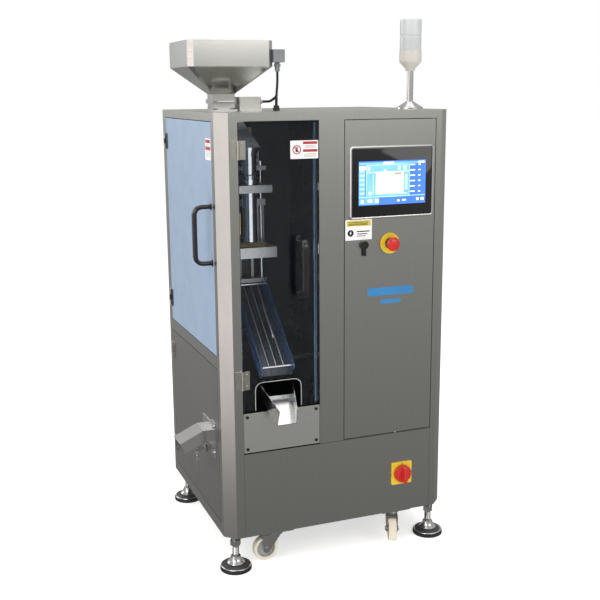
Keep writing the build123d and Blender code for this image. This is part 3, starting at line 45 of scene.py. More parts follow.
# ------------------------------------------------------------------ camera
# A normal lens at standing eye height, in front of the cabinet and to its left.
CAMERA_PLACE = Vector((-1.03496, -2.73853, 1.36521))
CAMERA_ROLL = np.radians(0.442)
forward = Vector((0.3536, 0.9111, -0.2118)).normalized()
level = forward.cross(Vector((0, 0, 1))).normalized()
tilt = Matrix.Rotation(CAMERA_ROLL, 3, forward)
right = tilt @ level
up = right.cross(forward)
camera_data = bpy.data.cameras.new("camera")
camera_data.lens = 57.96
camera_data.sensor_width = 36
camera = bpy.data.objects.new("camera", camera_data)
bpy.context.scene.collection.objects.link(camera)
camera.matrix_world = Matrix.LocRotScale(CAMERA_PLACE, Matrix((right, up, -forward)).transposed(), None)
bpy.context.scene.camera = camera

# ------------------------------------------------------------------ studio
# A pale floor under soft boxes, in a room that is bright above and darker below. The last box
# is a lamp just behind the viewing door, which lights the film compartment; none is seen itself.
bpy.context.scene.view_settings.view_transform = "Standard"
world = bpy.data.worlds.new("studio")
world.use_nodes = True
bpy.context.scene.world = world
sky = world.node_tree.nodes
sky_links = world.node_tree.links
direction = sky.new("ShaderNodeTexCoord")
height = sky.new("ShaderNodeSeparateXYZ")
shade = sky.new("ShaderNodeValToRGB")
rise = sky.new("ShaderNodeMapRange")
rise.inputs["From Min"].default_value = -0.6
rise.inputs["From Max"].default_value = 0.6
shade.color_ramp.elements[0].position = 0.05
shade.color_ramp.elements[0].color = (0.15, 0.15, 0.15, 1)
shade.color_ramp.elements[1].position = 0.60
shade.color_ramp.elements[1].color = (0.48, 0.475, 0.465, 1)
room = sky["Background"]
backdrop = sky.new("ShaderNodeBackground")
backdrop.inputs["Color"].default_value = (1, 1, 1, 1)
backdrop.inputs["Strength"].default_value = 1.0
seen = sky.new("ShaderNodeLightPath")
either = sky.new("ShaderNodeMixShader")
sky_links.new(direction.outputs["Generated"], height.inputs[0])
sky_links.new(height.outputs["Z"], rise.inputs["Value"])
sky_links.new(rise.outputs["Result"], shade.inputs["Fac"])
sky_links.new(shade.outputs["Color"], room.inputs["Color"])
sky_links.new(seen.outputs["Is Camera Ray"], either.inputs["Fac"])
sky_links.new(room.outputs[0], either.inputs[1])
sky_links.new(backdrop.outputs[0], either.inputs[2])
sky_links.new(either.outputs[0], sky["World Output"].inputs["Surface"])

# name, place, aim, width, height, power, colour
SOFT_BOXES = [
    ("key", (-2.4, -2.0, 2.5), (0.0, 0.0, 0.9), 1.6, 1.6, 32, (1.0, 0.965, 0.95)),
    ("left panel", (-2.7, -1.25, 0.75), (-0.3, -0.3, 0.7), 1.5, 2.6, 13, (1.0, 0.885, 0.90)),
    ("front", (1.6, -3.4, 2.4), (0.1, -0.3, 1.0), 2.4, 1.4, 24, (1.0, 1.0, 0.96)),
    ("top", (0.0, -0.2, 3.6), (0.0, 0.0, 0.0), 3.0, 3.0, 40, (1.0, 1.0, 1.0)),
    ("back", (-2.2, 2.6, 2.2), (0.0, 0.0, 0.8), 2.0, 2.0, 26, (0.95, 0.98, 1.0)),
    ("bay", (-0.146, -0.262, 0.90), (-0.146, 0.2, 0.90), 0.20, 0.66, 0.75, (1.0, 0.985, 0.96)),
]
for box_name, place, aim, width, tall, power, tint in SOFT_BOXES:
    light = bpy.data.lights.new(box_name, "AREA")
    light.shape = "RECTANGLE"
    light.size = width
    light.size_y = tall
    light.energy = power
    light.color = tint
    lamp = bpy.data.objects.new(box_name, light)
    lamp.location = place
    lamp.rotation_euler = (Vector(aim) - Vector(place)).to_track_quat("-Z", "Y").to_euler()
    lamp.visible_camera = False
    lamp.visible_transmission = False
    bpy.context.scene.collection.objects.link(lamp)

floor_mesh = bpy.data.meshes.new("floor")
FLOOR_RADIUS, FLOOR_DROP, FLOOR_POINTS = 40.0, 0.0005, 96
edge = np.linspace(0, 2 * np.pi, FLOOR_POINTS, endpoint=False)
disc = FLOOR_RADIUS * np.stack([np.cos(edge), np.sin(edge), np.zeros(FLOOR_POINTS)], axis=1)
disc[:, 2] = -FLOOR_DROP
floor_mesh.from_pydata(disc.tolist(), [], [list(range(FLOOR_POINTS))])
floor = bpy.data.objects.new("floor", floor_mesh)
bpy.context.scene.collection.objects.link(floor)
floor.visible_glossy = False
floor_paint = bpy.data.materials.new("floor_paint")
floor_paint.use_nodes = True
floor_shader = floor_paint.node_tree.nodes["Principled BSDF"]
floor_shader.inputs["Base Color"].default_value = (0.94, 0.94, 0.935, 1)
floor_shader.inputs["Roughness"].default_value = 0.9
floor_shader.inputs["Specular IOR Level"].default_value = 0.1
floor_shader.inputs["Emission Color"].default_value = (1, 1, 1, 1)
floor_shader.inputs["Emission Strength"].default_value = 0.6
floor_mesh.materials.append(floor_paint)

# ------------------------------------------------------------------ welded frame
# Square steel tube, 28 mm, mitred and welded into two rings and four posts with a floor
# sheet. The weld seams are ground flush and the whole frame is brushed.


def new_group(name, inputs, outputs):
    """Shader group with named sockets; each socket is a (name, kind, value) triple."""
    group = bpy.data.node_groups.new(name, "ShaderNodeTree")
    for socket_name, kind, value in inputs:
        socket = group.interface.new_socket(name=socket_name, in_out="INPUT", socket_type=kind)
        if value is not None:
            socket.default_value = value
    for socket_name, kind in outputs:
        group.interface.new_socket(name=socket_name, in_out="OUTPUT", socket_type=kind)
    return group, group.nodes.new("NodeGroupInput"), group.nodes.new("NodeGroupOutput")


VECTOR, COLOUR, VALUE = "NodeSocketVector", "NodeSocketColor", "NodeSocketFloat"

strokes, taken, given = new_group(
    "brush_strokes",
    [
        ("Vector", VECTOR, None), ("Stretch", VECTOR, (900, 900, 14)),
        ("Light", COLOUR, (0.6, 0.6, 0.6, 1)), ("Dark", COLOUR, (0.5, 0.5, 0.5, 1)),
        ("Smooth", VALUE, 0.2), ("Rough", VALUE, 0.4), ("Cloud", VALUE, 2.5),
    ],
    [("Colour", COLOUR), ("Roughness", VALUE), ("Height", VALUE)],
)
drawn = strokes.nodes.new("ShaderNodeVectorMath")
drawn.operation = "MULTIPLY"
line_noise = strokes.nodes.new("ShaderNodeTexNoise")
line_noise.inputs["Scale"].default_value = 1.0
line_noise.inputs["Detail"].default_value = 3.0
cloud_noise = strokes.nodes.new("ShaderNodeTexNoise")
cloud_noise.inputs["Detail"].default_value = 4.0
line_share = strokes.nodes.new("ShaderNodeMath")
line_share.operation = "MULTIPLY"
line_share.inputs[1].default_value = 0.55
both = strokes.nodes.new("ShaderNodeMath")
both.operation = "MULTIPLY_ADD"
both.inputs[1].default_value = 0.45
spread = strokes.nodes.new("ShaderNodeMapRange")
spread.inputs["From Min"].default_value = 0.32
spread.inputs["From Max"].default_value = 0.68
tone = strokes.nodes.new("ShaderNodeMix")
tone.data_type = "RGBA"
gloss = strokes.nodes.new("ShaderNodeMapRange")
for start, end in (
    (taken.outputs["Vector"], drawn.inputs[0]),
    (taken.outputs["Stretch"], drawn.inputs[1]),
    (drawn.outputs[0], line_noise.inputs["Vector"]),
    (taken.outputs["Vector"], cloud_noise.inputs["Vector"]),
    (taken.outputs["Cloud"], cloud_noise.inputs["Scale"]),
    (line_noise.outputs["Fac"], line_share.inputs[0]),
    (cloud_noise.outputs["Fac"], both.inputs[0]),
    (line_share.outputs[0], both.inputs[2]),
    (both.outputs[0], spread.inputs["Value"]),
    (spread.outputs["Result"], tone.inputs["Factor"]),
    (taken.outputs["Dark"], tone.inputs["A"]),
    (taken.outputs["Light"], tone.inputs["B"]),
    (spread.outputs["Result"], gloss.inputs["Value"]),
    (taken.outputs["Rough"], gloss.inputs["To Min"]),
    (taken.outputs["Smooth"], gloss.inputs["To Max"]),
    (tone.outputs["Result"], given.inputs["Colour"]),
    (gloss.outputs["Result"], given.inputs["Roughness"]),
    (line_noise.outputs["Fac"], given.inputs["Height"]),
):
    strokes.links.new(start, end)


def grained(name, group, values, bump, **sockets):
    """Material whose colour, roughness and fine relief come from a group on Object coordinates.

    values set the group's inputs, sockets the shader's own; bump is the relief in metres.
    """
    material = bpy.data.materials.new(name)
    material.use_nodes = True
    tree = material.node_tree
    shader = tree.nodes["Principled BSDF"]
    place = tree.nodes.new("ShaderNodeTexCoord")
    pattern = tree.nodes.new("ShaderNodeGroup")
    pattern.node_tree = group
    relief = tree.nodes.new("ShaderNodeBump")
    relief.inputs["Distance"].default_value = bump
    relief.inputs["Strength"].default_value = 0.6
    for socket_name, value in values.items():
        pattern.inputs[socket_name].default_value = value
    for socket_name, value in sockets.items():
        shader.inputs[socket_name.replace("_", " ")].default_value = value
    tree.links.new(place.outputs["Object"], pattern.inputs["Vector"])
    tree.links.new(pattern.outputs["Colour"], shader.inputs["Base Color"])
    tree.links.new(pattern.outputs["Roughness"], shader.inputs["Roughness"])
    tree.links.new(pattern.outputs["Height"], relief.inputs["Height"])
    tree.links.new(relief.outputs["Normal"], shader.inputs["Normal"])
    return material


def steel(name, light, dark, stretch, smooth, rough, cloud=2.5, bump=0.00002):
    """Metal brushed along the axis on which stretch is small."""
    values = {
        "Stretch": stretch, "Light": (*light, 1), "Dark": (*dark, 1),
        "Smooth": smooth, "Rough": rough, "Cloud": cloud,
    }
    return grained(name, strokes, values, bump, Metallic=1.0)


def finish_nodes(material, *nodes):
    """Put a finish on CAD nodes that are shown as they are."""
    for node in nodes:
        for material_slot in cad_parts[node].material_slots:
            material_slot.material = material


ALONG_X, ALONG_Y, ALONG_Z = (14, 900, 900), (900, 14, 900), (900, 900, 14)
frame_steel = steel("frame_steel", (0.36, 0.36, 0.36), (0.24, 0.24, 0.25), ALONG_Z, 0.35, 0.55)
finish_nodes(frame_steel, "welded_frame")

# ------------------------------------------------------------------ levelling feet
# A pressed steel cup on a rubber pad, with a threaded stem and a lock nut under the frame.
# The cup is polished, the rubber is moulded with a lip, and the stem is bright zinc. The
# cup's inner dish is a near-black piece: painted shade inside the cup.
RIGHTWARD, LEFTWARD, REARWARD, FRONTWARD, UPWARD = (1, 0, 0), (-1, 0, 0), (0, 1, 0), (0, -1, 0), (0, 0, 1)


def grid_quads(rows, cols, loop_rows=False, loop_cols=False):
    """Corner numbers of the quads of a grid of points; a looped side joins its last line to its first."""
    r = np.arange(rows if loop_rows else rows - 1)[:, None]
    c = np.arange(cols if loop_cols else cols - 1)[None, :]
    r2, c2 = (r + 1) % rows, (c + 1) % cols
    return np.stack([r * cols + c, r * cols + c2, r2 * cols + c2, r2 * cols + c], axis=-1).reshape(-1, 4)


def directions(axis):
    """Unit vector along axis, and two square to it and to each other."""
    w = np.array(axis, float) / np.linalg.norm(axis)
    helper = np.array([0.0, 0.0, 1.0]) if abs(w[2]) < 0.9 else np.array([1.0, 0.0, 0.0])
    u = np.cross(helper, w)
    u /= np.linalg.norm(u)
    return w, u, np.cross(w, u)


def turned(profile, centre, axis, segments=48):
    """Surface of revolution: centre + height x axis + radius x (cos t u + sin t v).

    The profile is a list of (radius, height) in millimetres, and ends on the axis.
    """
    radius, along = np.array(profile, float).T * MM
    w, u, v = directions(axis)
    t = np.linspace(0, 2 * np.pi, segments, endpoint=False)
    rim = np.cos(t)[:, None] * u + np.sin(t)[:, None] * v
    points = np.array(centre) * MM + along[:, None, None] * w + radius[:, None, None] * rim[None]
    return points.reshape(-1, 3), grid_quads(len(profile), segments, loop_cols=True).tolist()


def prism(outline, origin, across, upward, start, end):
    """Flat outline pushed straight out: origin + a x across + b x upward + h x (across x upward)."""
    a, b = np.array(outline, float).T * MM
    across, upward = np.array(across, float), np.array(upward, float)
    out = np.cross(across, upward)
    flat = np.array(origin) * MM + a[:, None] * across + b[:, None] * upward
    points = np.concatenate([flat + start * MM * out, flat + end * MM * out])
    n = len(outline)
    sides = grid_quads(2, n, loop_cols=True).tolist()
    return points, sides + [list(range(n))[::-1], list(range(n, 2 * n))]


def polygon(radius, count, turn=0.0):
    """Corners of a regular polygon."""
    t = np.linspace(0, 2 * np.pi, count, endpoint=False) + turn
    return np.stack([radius * np.cos(t), radius * np.sin(t)], axis=1)


def box_shape(low, high):
    """Box between two corners in millimetres, as a prism along Z."""
    (x0, y0, z0), (x1, y1, z1) = low, high
    outline = [(x0, y0), (x1, y0), (x1, y1), (x0, y1)]
    return prism(outline, (0, 0, 0), RIGHTWARD, REARWARD, z0, z1)


def piece(name, shapes, body, material, bevel=0.0, sharp=35):
    """One mesh object from several shapes, with doubled points merged and faces turned outwards."""
    points, faces, count = [], [], 0
    for shape_points, shape_faces in shapes:
        points.append(shape_points)
        faces += [[corner + count for corner in face] for face in shape_faces]
        count += len(shape_points)
    mesh = bpy.data.meshes.new(name)
    mesh.from_pydata(np.concatenate(points).tolist(), [], faces)
    work = bmesh.new()
    work.from_mesh(mesh)
    bmesh.ops.remove_doubles(work, verts=work.verts, dist=1e-6)
    bmesh.ops.dissolve_degenerate(work, edges=work.edges, dist=1e-7)
    bmesh.ops.recalc_face_normals(work, faces=work.faces)
    work.to_mesh(mesh)
    work.free()
    mesh.shade_smooth()
    mesh.set_sharp_from_angle(angle=np.radians(sharp))
    mesh.materials.append(material)
    made = bpy.data.objects.new(name, mesh)
    bpy.context.scene.collection.objects.link(made)
    if bevel:
        edge = made.modifiers.new("edge", "BEVEL")
        edge.width = bevel * MM
        edge.segments = 2
        edge.limit_method = "ANGLE"
        edge.angle_limit = np.radians(sharp)
    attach(made, body)
    return made


moulding, taken, given = new_group(
    "moulded_skin",
    [
        ("Vector", VECTOR, None),
        ("Colour", COLOUR, (0.5, 0.5, 0.5, 1)), ("Shade", COLOUR, (0.4, 0.4, 0.4, 1)),
        ("Grain", VALUE, 900.0), ("Low", VALUE, 0.4), ("High", VALUE, 0.6),
    ],
    [("Colour", COLOUR), ("Roughness", VALUE), ("Height", VALUE)],
)
skin_noise = moulding.nodes.new("ShaderNodeTexNoise")
skin_noise.inputs["Detail"].default_value = 2.0
patch_noise = moulding.nodes.new("ShaderNodeTexNoise")
patch_noise.inputs["Scale"].default_value = 14.0
patch_noise.inputs["Detail"].default_value = 5.0
patch = moulding.nodes.new("ShaderNodeMapRange")
patch.inputs["From Min"].default_value = 0.35
patch.inputs["From Max"].default_value = 0.65
skin_tone = moulding.nodes.new("ShaderNodeMix")
skin_tone.data_type = "RGBA"
skin_gloss = moulding.nodes.new("ShaderNodeMapRange")
for start, end in (
    (taken.outputs["Vector"], skin_noise.inputs["Vector"]),
    (taken.outputs["Grain"], skin_noise.inputs["Scale"]),
    (taken.outputs["Vector"], patch_noise.inputs["Vector"]),
    (patch_noise.outputs["Fac"], patch.inputs["Value"]),
    (patch.outputs["Result"], skin_tone.inputs["Factor"]),
    (taken.outputs["Shade"], skin_tone.inputs["A"]),
    (taken.outputs["Colour"], skin_tone.inputs["B"]),
    (patch.outputs["Result"], skin_gloss.inputs["Value"]),
    (taken.outputs["High"], skin_gloss.inputs["To Min"]),
    (taken.outputs["Low"], skin_gloss.inputs["To Max"]),
    (skin_tone.outputs["Result"], given.inputs["Colour"]),
    (skin_gloss.outputs["Result"], given.inputs["Roughness"]),
    (skin_noise.outputs["Fac"], given.inputs["Height"]),
):
    moulding.links.new(start, end)


def plastic(name, colour, shade, low, high, grain=900.0, bump=0.00003, **sockets):
    """Moulded or painted skin with a fine grain and slightly uneven gloss."""
    values = {"Colour": (*colour, 1), "Shade": (*shade, 1), "Grain": grain, "Low": low, "High": high}
    return grained(name, moulding, values, bump, **sockets)


def span_mm(node):
    """Lowest and highest corner of a CAD node, in millimetres."""
    return np.array(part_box(node)) / MM


foot_rubber = plastic("foot_rubber", (0.022, 0.022, 0.024), (0.012, 0.012, 0.013), 0.5, 0.7)
foot_chrome = steel("foot_steel", (0.74, 0.74, 0.75), (0.56, 0.56, 0.57), (300, 300, 40), 0.12, 0.28)
# The cup's inner dish is near black: painted shade inside the cup.
foot_shadow = plastic("foot_dish_painted_shade", (0.05, 0.05, 0.055), (0.03, 0.03, 0.032), 0.35, 0.55)

PAD_RUBBER = [(0, 0), (44, 0), (46, 1.5), (46, 9.5), (45, 11.2), (43, 12), (0, 12)]
CUP_RIM = [(0, 12.05), (44, 12.05), (44.6, 13), (44, 14.2), (41, 15), (39.5, 14.5), (0, 14.5)]
CUP_DISH = [(0, 14), (40, 14), (37, 17.5), (27, 21.5), (0, 21.5)]
CUP_CONE = [
    (0, 21), (27, 21), (25, 23.5), (21, 27), (17.5, 32), (15, 38), (14, 41.5), (12.5, 42), (11, 43), (0, 43),
]
STEM_TOP = 170.0
THREAD_TURNS, PITCH = 48, 2.5
foot_thread = [(0, 42)]
for turn in range(THREAD_TURNS):
    z = 46 + turn * PITCH
    foot_thread += [(9.0, z), (9.95, z + PITCH / 2)]
foot_thread += [(9.0, 167), (7.5, STEM_TOP), (0, STEM_TOP)]
LOCK_NUT = [(0, 75), (13, 75), (15.4, 76.4), (15.4, 89.6), (13, 91), (0, 91)]

for number in range(1, 5):
    low, high = span_mm(f"levelling_foot_{number}")
    foot_x, foot_y = ((low + high) / 2)[:2]
    stand = (foot_x, foot_y, 0)
    body = f"levelling_foot_{number}"
    rubber_shape = turned(PAD_RUBBER, stand, UPWARD, 64)
    piece(f"foot_{number}_rubber", [rubber_shape], body, foot_rubber)
    # Near-black dish between the cup's rim and cone: painted shade.
    piece(f"foot_{number}_dish_painted_shade", [turned(CUP_DISH, stand, UPWARD, 64)], body, foot_shadow)
    nut = prism(polygon(16, 6), stand, RIGHTWARD, REARWARD, 75, 91)
    steel_parts = [turned(p, stand, UPWARD, 48) for p in (CUP_RIM, CUP_CONE, foot_thread)] + [nut]
    cup = piece(f"foot_{number}_steel", steel_parts, body, foot_chrome, sharp=50)
    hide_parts(f"levelling_foot_{number}")

# ------------------------------------------------------------------ casters
# Swivel casters on bolted plates: pressed zinc forks with a ball race, and cast nylon
# wheels with a grey hub on a through bolt.


def ring(profile, centre, axis, segments=48):
    """Ring turned from a closed profile that stays clear of the axis: same formula as turned."""
    points, faces = turned(profile, centre, axis, segments)
    rows = len(profile)
    last = (rows - 1) * segments
    seam = [
        [last + k, last + (k + 1) % segments, (k + 1) % segments, k] for k in range(segments)
    ]
    return points, faces + seam


zinc = steel("zinc", (0.70, 0.69, 0.66), (0.48, 0.48, 0.47), (260, 260, 260), 0.22, 0.42, cloud=9.0)
nylon = plastic("cream_nylon", (0.80, 0.75, 0.62), (0.72, 0.66, 0.53), 0.35, 0.5, grain=500.0)
hub_grey = plastic("hub_grey", (0.36, 0.36, 0.35), (0.28, 0.28, 0.27), 0.4, 0.55)
finish_nodes(zinc, "caster_plates", *[f"caster_fork_{number}" for number in range(1, 5)])

WHEEL_TREAD = [
    (28, -8.5), (33.5, -11.6), (35.2, -12), (36.6, -11), (37.4, -9), (37.5, -6), (37.5, 6), (37.4, 9),
    (36.6, 11), (35.2, 12), (33.5, 11.6), (28, 8.5),
]
WHEEL_HUB = [
    (4.3, -13.6), (9.5, -13.6), (10.8, -12.8), (11, -7), (14, -5), (24, -5), (25, -8), (28.2, -8.6),
    (28.2, 8.6), (25, 8), (24, 5), (14, 5), (11, 7), (10.8, 12.8), (9.5, 13.6), (4.3, 13.6),
]
CASTER_HEADINGS = (180, 249, 205, 160)

for number, heading in enumerate(CASTER_HEADINGS, start=1):
    low, high = span_mm(f"caster_wheel_{number}")
    axle = (low + high) / 2
    turn = np.radians(heading)
    across = (-np.sin(turn), np.cos(turn), 0)
    body = f"caster_wheel_{number}"
    tread = piece(f"wheel_{number}_tread", [ring(WHEEL_TREAD, axle, across, 64)], body, nylon)
    piece(f"wheel_{number}_hub", [ring(WHEEL_HUB, axle, across)], body, hub_grey)
    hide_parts(body)

# ------------------------------------------------------------------ cabinet sheets
# Stainless sheet, 2 mm, folded and spot welded to the frame, brushed from top to bottom.
# The front is one sheet folded at both corners, with plates let into its openings.
cabinet_steel = steel("cabinet_steel", (0.55, 0.555, 0.525), (0.495, 0.50, 0.472), ALONG_Z, 0.27, 0.36)
top_steel = steel("top_steel", (0.56, 0.565, 0.535), (0.50, 0.505, 0.48), ALONG_Y, 0.27, 0.36)
bright_steel = steel("sill_steel", (0.95, 0.965, 0.91), (0.89, 0.905, 0.85), ALONG_Z, 0.2, 0.3)
finish_nodes(
    cabinet_steel, "front_frame", "lower_front_panel", "left_side_frame", "right_side_panel", "rear_panel",
)
finish_nodes(top_steel, "top_plate")
finish_nodes(bright_steel, "sill_plate")
black_oxide = steel("black_oxide", (0.10, 0.10, 0.10), (0.06, 0.06, 0.06), (300, 300, 300), 0.25, 0.4)
finish_nodes(black_oxide, "panel_screws")

# ------------------------------------------------------------------ film compartment
# A dark plate carries the bag former: a tube with its collar and clamp, two ground rods, the
# carriage with its jaws, and the film roll on a spindle behind. A plain sticker is on the
# partition.
dark_plate = plastic("dark_plate", (0.018, 0.021, 0.028), (0.012, 0.014, 0.02), 0.3, 0.45, Metallic=0.0)
partition_paint = plastic("partition_paint", (0.016, 0.019, 0.027), (0.010, 0.012, 0.019), 0.25, 0.4)
blocks = steel("aluminium_blocks", (0.52, 0.52, 0.50), (0.42, 0.42, 0.41), (220, 220, 220), 0.35, 0.5)
ground_steel = steel("ground_steel", (0.78, 0.78, 0.78), (0.66, 0.66, 0.66), (500, 500, 30), 0.12, 0.22)
brass = steel("jaw_brass", (0.72, 0.56, 0.28), (0.6, 0.45, 0.2), (14, 700, 700), 0.28, 0.45)
finish_nodes(dark_plate, "machine_plate")
finish_nodes(partition_paint, "partition_wall")
sticker_face = plastic("sticker_face", (0.20, 0.48, 0.72), (0.16, 0.42, 0.66), 0.25, 0.4, bump=0.0)
sticker_band = plastic("sticker_band", (0.13, 0.30, 0.20), (0.10, 0.25, 0.16), 0.25, 0.4, bump=0.0)
wall_face = span_mm("partition_wall")[0][0]
STICKER_Y, STICKER_Z = (88.0, 190.0), (788.0, 846.0)
sticker = [
    box_shape((wall_face - 0.3, STICKER_Y[0], STICKER_Z[0]), (wall_face - 0.1, STICKER_Y[1], STICKER_Z[1])),
]
piece("partition_sticker", sticker, "cabinet", sticker_face)
heading = [
    box_shape(
        (wall_face - 0.5, STICKER_Y[0] + 4, STICKER_Z[1] - 18),
        (wall_face - 0.35, STICKER_Y[1] - 4, STICKER_Z[1] - 4),
    )
]
piece("sticker_heading", heading, "cabinet", sticker_band)
finish_nodes(blocks, "tube_carrier", "draw_carriage")
finish_nodes(ground_steel, "guide_rods", "forming_tube", "feed_chute")
finish_nodes(brass, "sealing_jaw_front", "sealing_jaw_rear", "vertical_sealer")

cream = plastic("cylinder_cream", (0.62, 0.56, 0.44), (0.54, 0.48, 0.37), 0.3, 0.45)
fitting_blue = plastic("fitting_blue", (0.05, 0.17, 0.42), (0.03, 0.12, 0.33), 0.25, 0.4)
finish_nodes(cream, "draw_cylinder")
low, high = span_mm("draw_cylinder")
cylinder_x = (low[0] + high[0]) / 2
cylinder_front = low[1]
FITTING = [(0, -1), (4.2, -1), (4.2, 3), (3.2, 4), (3.2, 8), (2.4, 9), (0, 9)]
port_heights = (low[2] + 8, low[2] + 26)
fittings = [turned(FITTING, (cylinder_x, cylinder_front, z), FRONTWARD, 24) for z in port_heights]
piece("air_fittings", fittings, "cabinet", fitting_blue)

film_white = plastic("film", (0.82, 0.83, 0.84), (0.76, 0.77, 0.79), 0.18, 0.3, grain=60.0)
card = plastic("film_core_card", (0.42, 0.29, 0.17), (0.34, 0.23, 0.13), 0.7, 0.85, grain=400.0)
low, high = span_mm("film_roll")
roll_left = low[0]
roll_y, roll_z = ((low + high) / 2)[1:]
FILM_WIDTH, FILM_R, CORE_R, CORE_LENGTH = 160.0, 100.0, 36.0, 167.6
wound = [(CORE_R + 0.2, 0.4)]
for layer in range(12):
    wound += [(40 + layer * 5, 0.2 + 0.5 * (layer % 3)), (43.5 + layer * 5, 0.3 + 0.4 * (layer % 2))]
wound += [(FILM_R - 0.4, 0.3), (FILM_R, 0.8), (FILM_R, FILM_WIDTH - 0.8), (FILM_R - 0.4, FILM_WIDTH - 0.3)]
wound.append((CORE_R + 0.2, FILM_WIDTH - 0.4))
CORE = [(14.2, 0.5), (CORE_R, 0.5), (CORE_R, CORE_LENGTH), (14.2, CORE_LENGTH)]
roll_end = (roll_left, roll_y, roll_z)
wound_film = piece("wound_film", [ring(wound, roll_end, RIGHTWARD, 96)], "film_roll", film_white)
piece("film_core", [ring(CORE, roll_end, RIGHTWARD, 64)], "film_roll", card)
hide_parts("film_roll")

# ------------------------------------------------------------------ bag slide
# A folded steel tray on two square bars, between clear blue side guards, with three wires
# that keep the bag straight and a bent wire handle to lift it out.
slide_steel = steel("slide_steel", (0.20, 0.21, 0.22), (0.13, 0.14, 0.15), (700, 14, 700), 0.2, 0.32)
wire_steel = steel("wire_steel", (0.82, 0.82, 0.82), (0.7, 0.7, 0.7), (300, 300, 300), 0.12, 0.25)
guard_blue = plastic(
    "clear_acrylic", (0.20, 0.45, 0.85), (0.16, 0.38, 0.78), 0.04, 0.08, bump=0.0,
    Transmission_Weight=0.85, IOR=1.49,
)
SLIDE_RISE = np.radians(40.9)
SLIDE_LENGTH, SLIDE_HALF, TRAY_THICK, LIP_DEPTH, BAR_SIZE = 328.0, 50.0, 3.0, 12.0, 12.0
GUARD_TALL, GUARD_THICK, WIRE_OUT, HANDLE_LIFT = 40.0, 4.0, 26.0, 38.0
slide_up = np.array([0, np.cos(SLIDE_RISE), np.sin(SLIDE_RISE)])
slide_out = np.array([0, -np.sin(SLIDE_RISE), np.cos(SLIDE_RISE)])
low, high = span_mm("bag_slide")
SLIDE_FOOT = np.array([low[0] + SLIDE_HALF, -239.0, 570.0])
EAST = np.array([1.0, 0, 0])


def on_slide(shape_low, shape_high):
    """Box in the slide's own directions: across, up the slope, and out from the tray."""
    (a0, b0, h0), (a1, b1, h1) = shape_low, shape_high
    outline = [(a0, b0), (a1, b0), (a1, b1), (a0, b1)]
    return prism(outline, SLIDE_FOOT, EAST, slide_up, h0, h1)


def slide_point(across, along, out):
    """Point in the slide's own directions, in millimetres."""
    return SLIDE_FOOT + across * EAST + along * slide_up + out * slide_out


def rounded_path(corners, radius, steps=8):
    """Polyline with each inner corner replaced by a parabola between points one radius from it."""
    corners = [np.array(corner, float) for corner in corners]
    stations = [corners[0]]
    s = np.linspace(0, 1, steps)[:, None]
    for before, corner, after in zip(corners, corners[1:], corners[2:]):
        start = corner + radius * (before - corner) / np.linalg.norm(before - corner)
        end = corner + radius * (after - corner) / np.linalg.norm(after - corner)
        stations += list((1 - s) ** 2 * start + 2 * s * (1 - s) * corner + s ** 2 * end)
    return np.array(stations + [corners[-1]])


def swept(section, path, side):
    """Section carried along a path: path + a x side + b x (tangent x side), for each (a, b)."""
    path = np.array(path, float)
    side = np.array(side, float)
    tangent = np.gradient(path, axis=0)
    tangent /= np.linalg.norm(tangent, axis=1)[:, None]
    lift = np.cross(tangent, side)
    lift /= np.linalg.norm(lift, axis=1)[:, None]
    a, b = np.array(section, float).T
    points = path[:, None, :] + a[None, :, None] * side + b[None, :, None] * lift[:, None, :]
    rows, n = len(path), len(section)
    ends = [list(range(n))[::-1], list(range((rows - 1) * n, rows * n))]
    return points.reshape(-1, 3) * MM, grid_quads(rows, n, loop_cols=True).tolist() + ends


def wire(radius, path, side, sides=12):
    """Round wire along a path that lies square to side."""
    return swept(polygon(radius, sides), path, side)


bar_reach = wall_face - SLIDE_FOOT[0]
tray_shapes = [
    on_slide((-SLIDE_HALF, 0, -TRAY_THICK), (SLIDE_HALF, SLIDE_LENGTH, 0)),
    on_slide((-SLIDE_HALF, 0, -LIP_DEPTH), (SLIDE_HALF, 12, -TRAY_THICK)),
]
for along in (60, 250):
    corner = (-SLIDE_HALF, along - BAR_SIZE / 2, -TRAY_THICK - BAR_SIZE)
    tray_shapes.append(on_slide(corner, (bar_reach, along + BAR_SIZE / 2, -TRAY_THICK)))
tray = piece("slide_tray", tray_shapes, "cabinet", slide_steel, bevel=0.3)
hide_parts("bag_slide")
guard_outline = [
    (0, 0), (SLIDE_LENGTH, 0), (SLIDE_LENGTH, GUARD_TALL - 6), (SLIDE_LENGTH - 6, GUARD_TALL),
    (6, GUARD_TALL), (0, GUARD_TALL - 6),
]
guards = [
    prism(guard_outline, SLIDE_FOOT + x * EAST, slide_up, slide_out, 0, GUARD_THICK)
    for x in (-SLIDE_HALF, SLIDE_HALF - GUARD_THICK)
]
piece("slide_guards", guards, "cabinet", guard_blue, bevel=0.4)
wires = []
for across in (-22, 0, 22):
    path = np.array([slide_point(across, along, WIRE_OUT) for along in np.linspace(12, SLIDE_LENGTH - 12, 4)])
    wires.append(wire(2.2, path, EAST))
for along in (14, SLIDE_LENGTH - 14):
    path = np.array([slide_point(across, along, WIRE_OUT) for across in (-46, 0, 46)])
    wires.append(wire(3, path, slide_up))
handle_corners = [(232, WIRE_OUT), (232, HANDLE_LIFT), (110, HANDLE_LIFT), (110, WIRE_OUT)]
lift_path = rounded_path([slide_point(14, along, out) for along, out in handle_corners], 9)
wires.append(wire(2.6, lift_path, EAST))
piece("slide_wires", wires, "cabinet", wire_steel)

# ------------------------------------------------------------------ outlet spout
# Bright folded sheet, welded along its bottom edges, on a tab screwed behind the sill plate.
spout_steel = steel("spout_steel", (0.80, 0.80, 0.79), (0.68, 0.68, 0.67), (500, 40, 40), 0.12, 0.24)
finish_nodes(spout_steel, "outlet_spout")

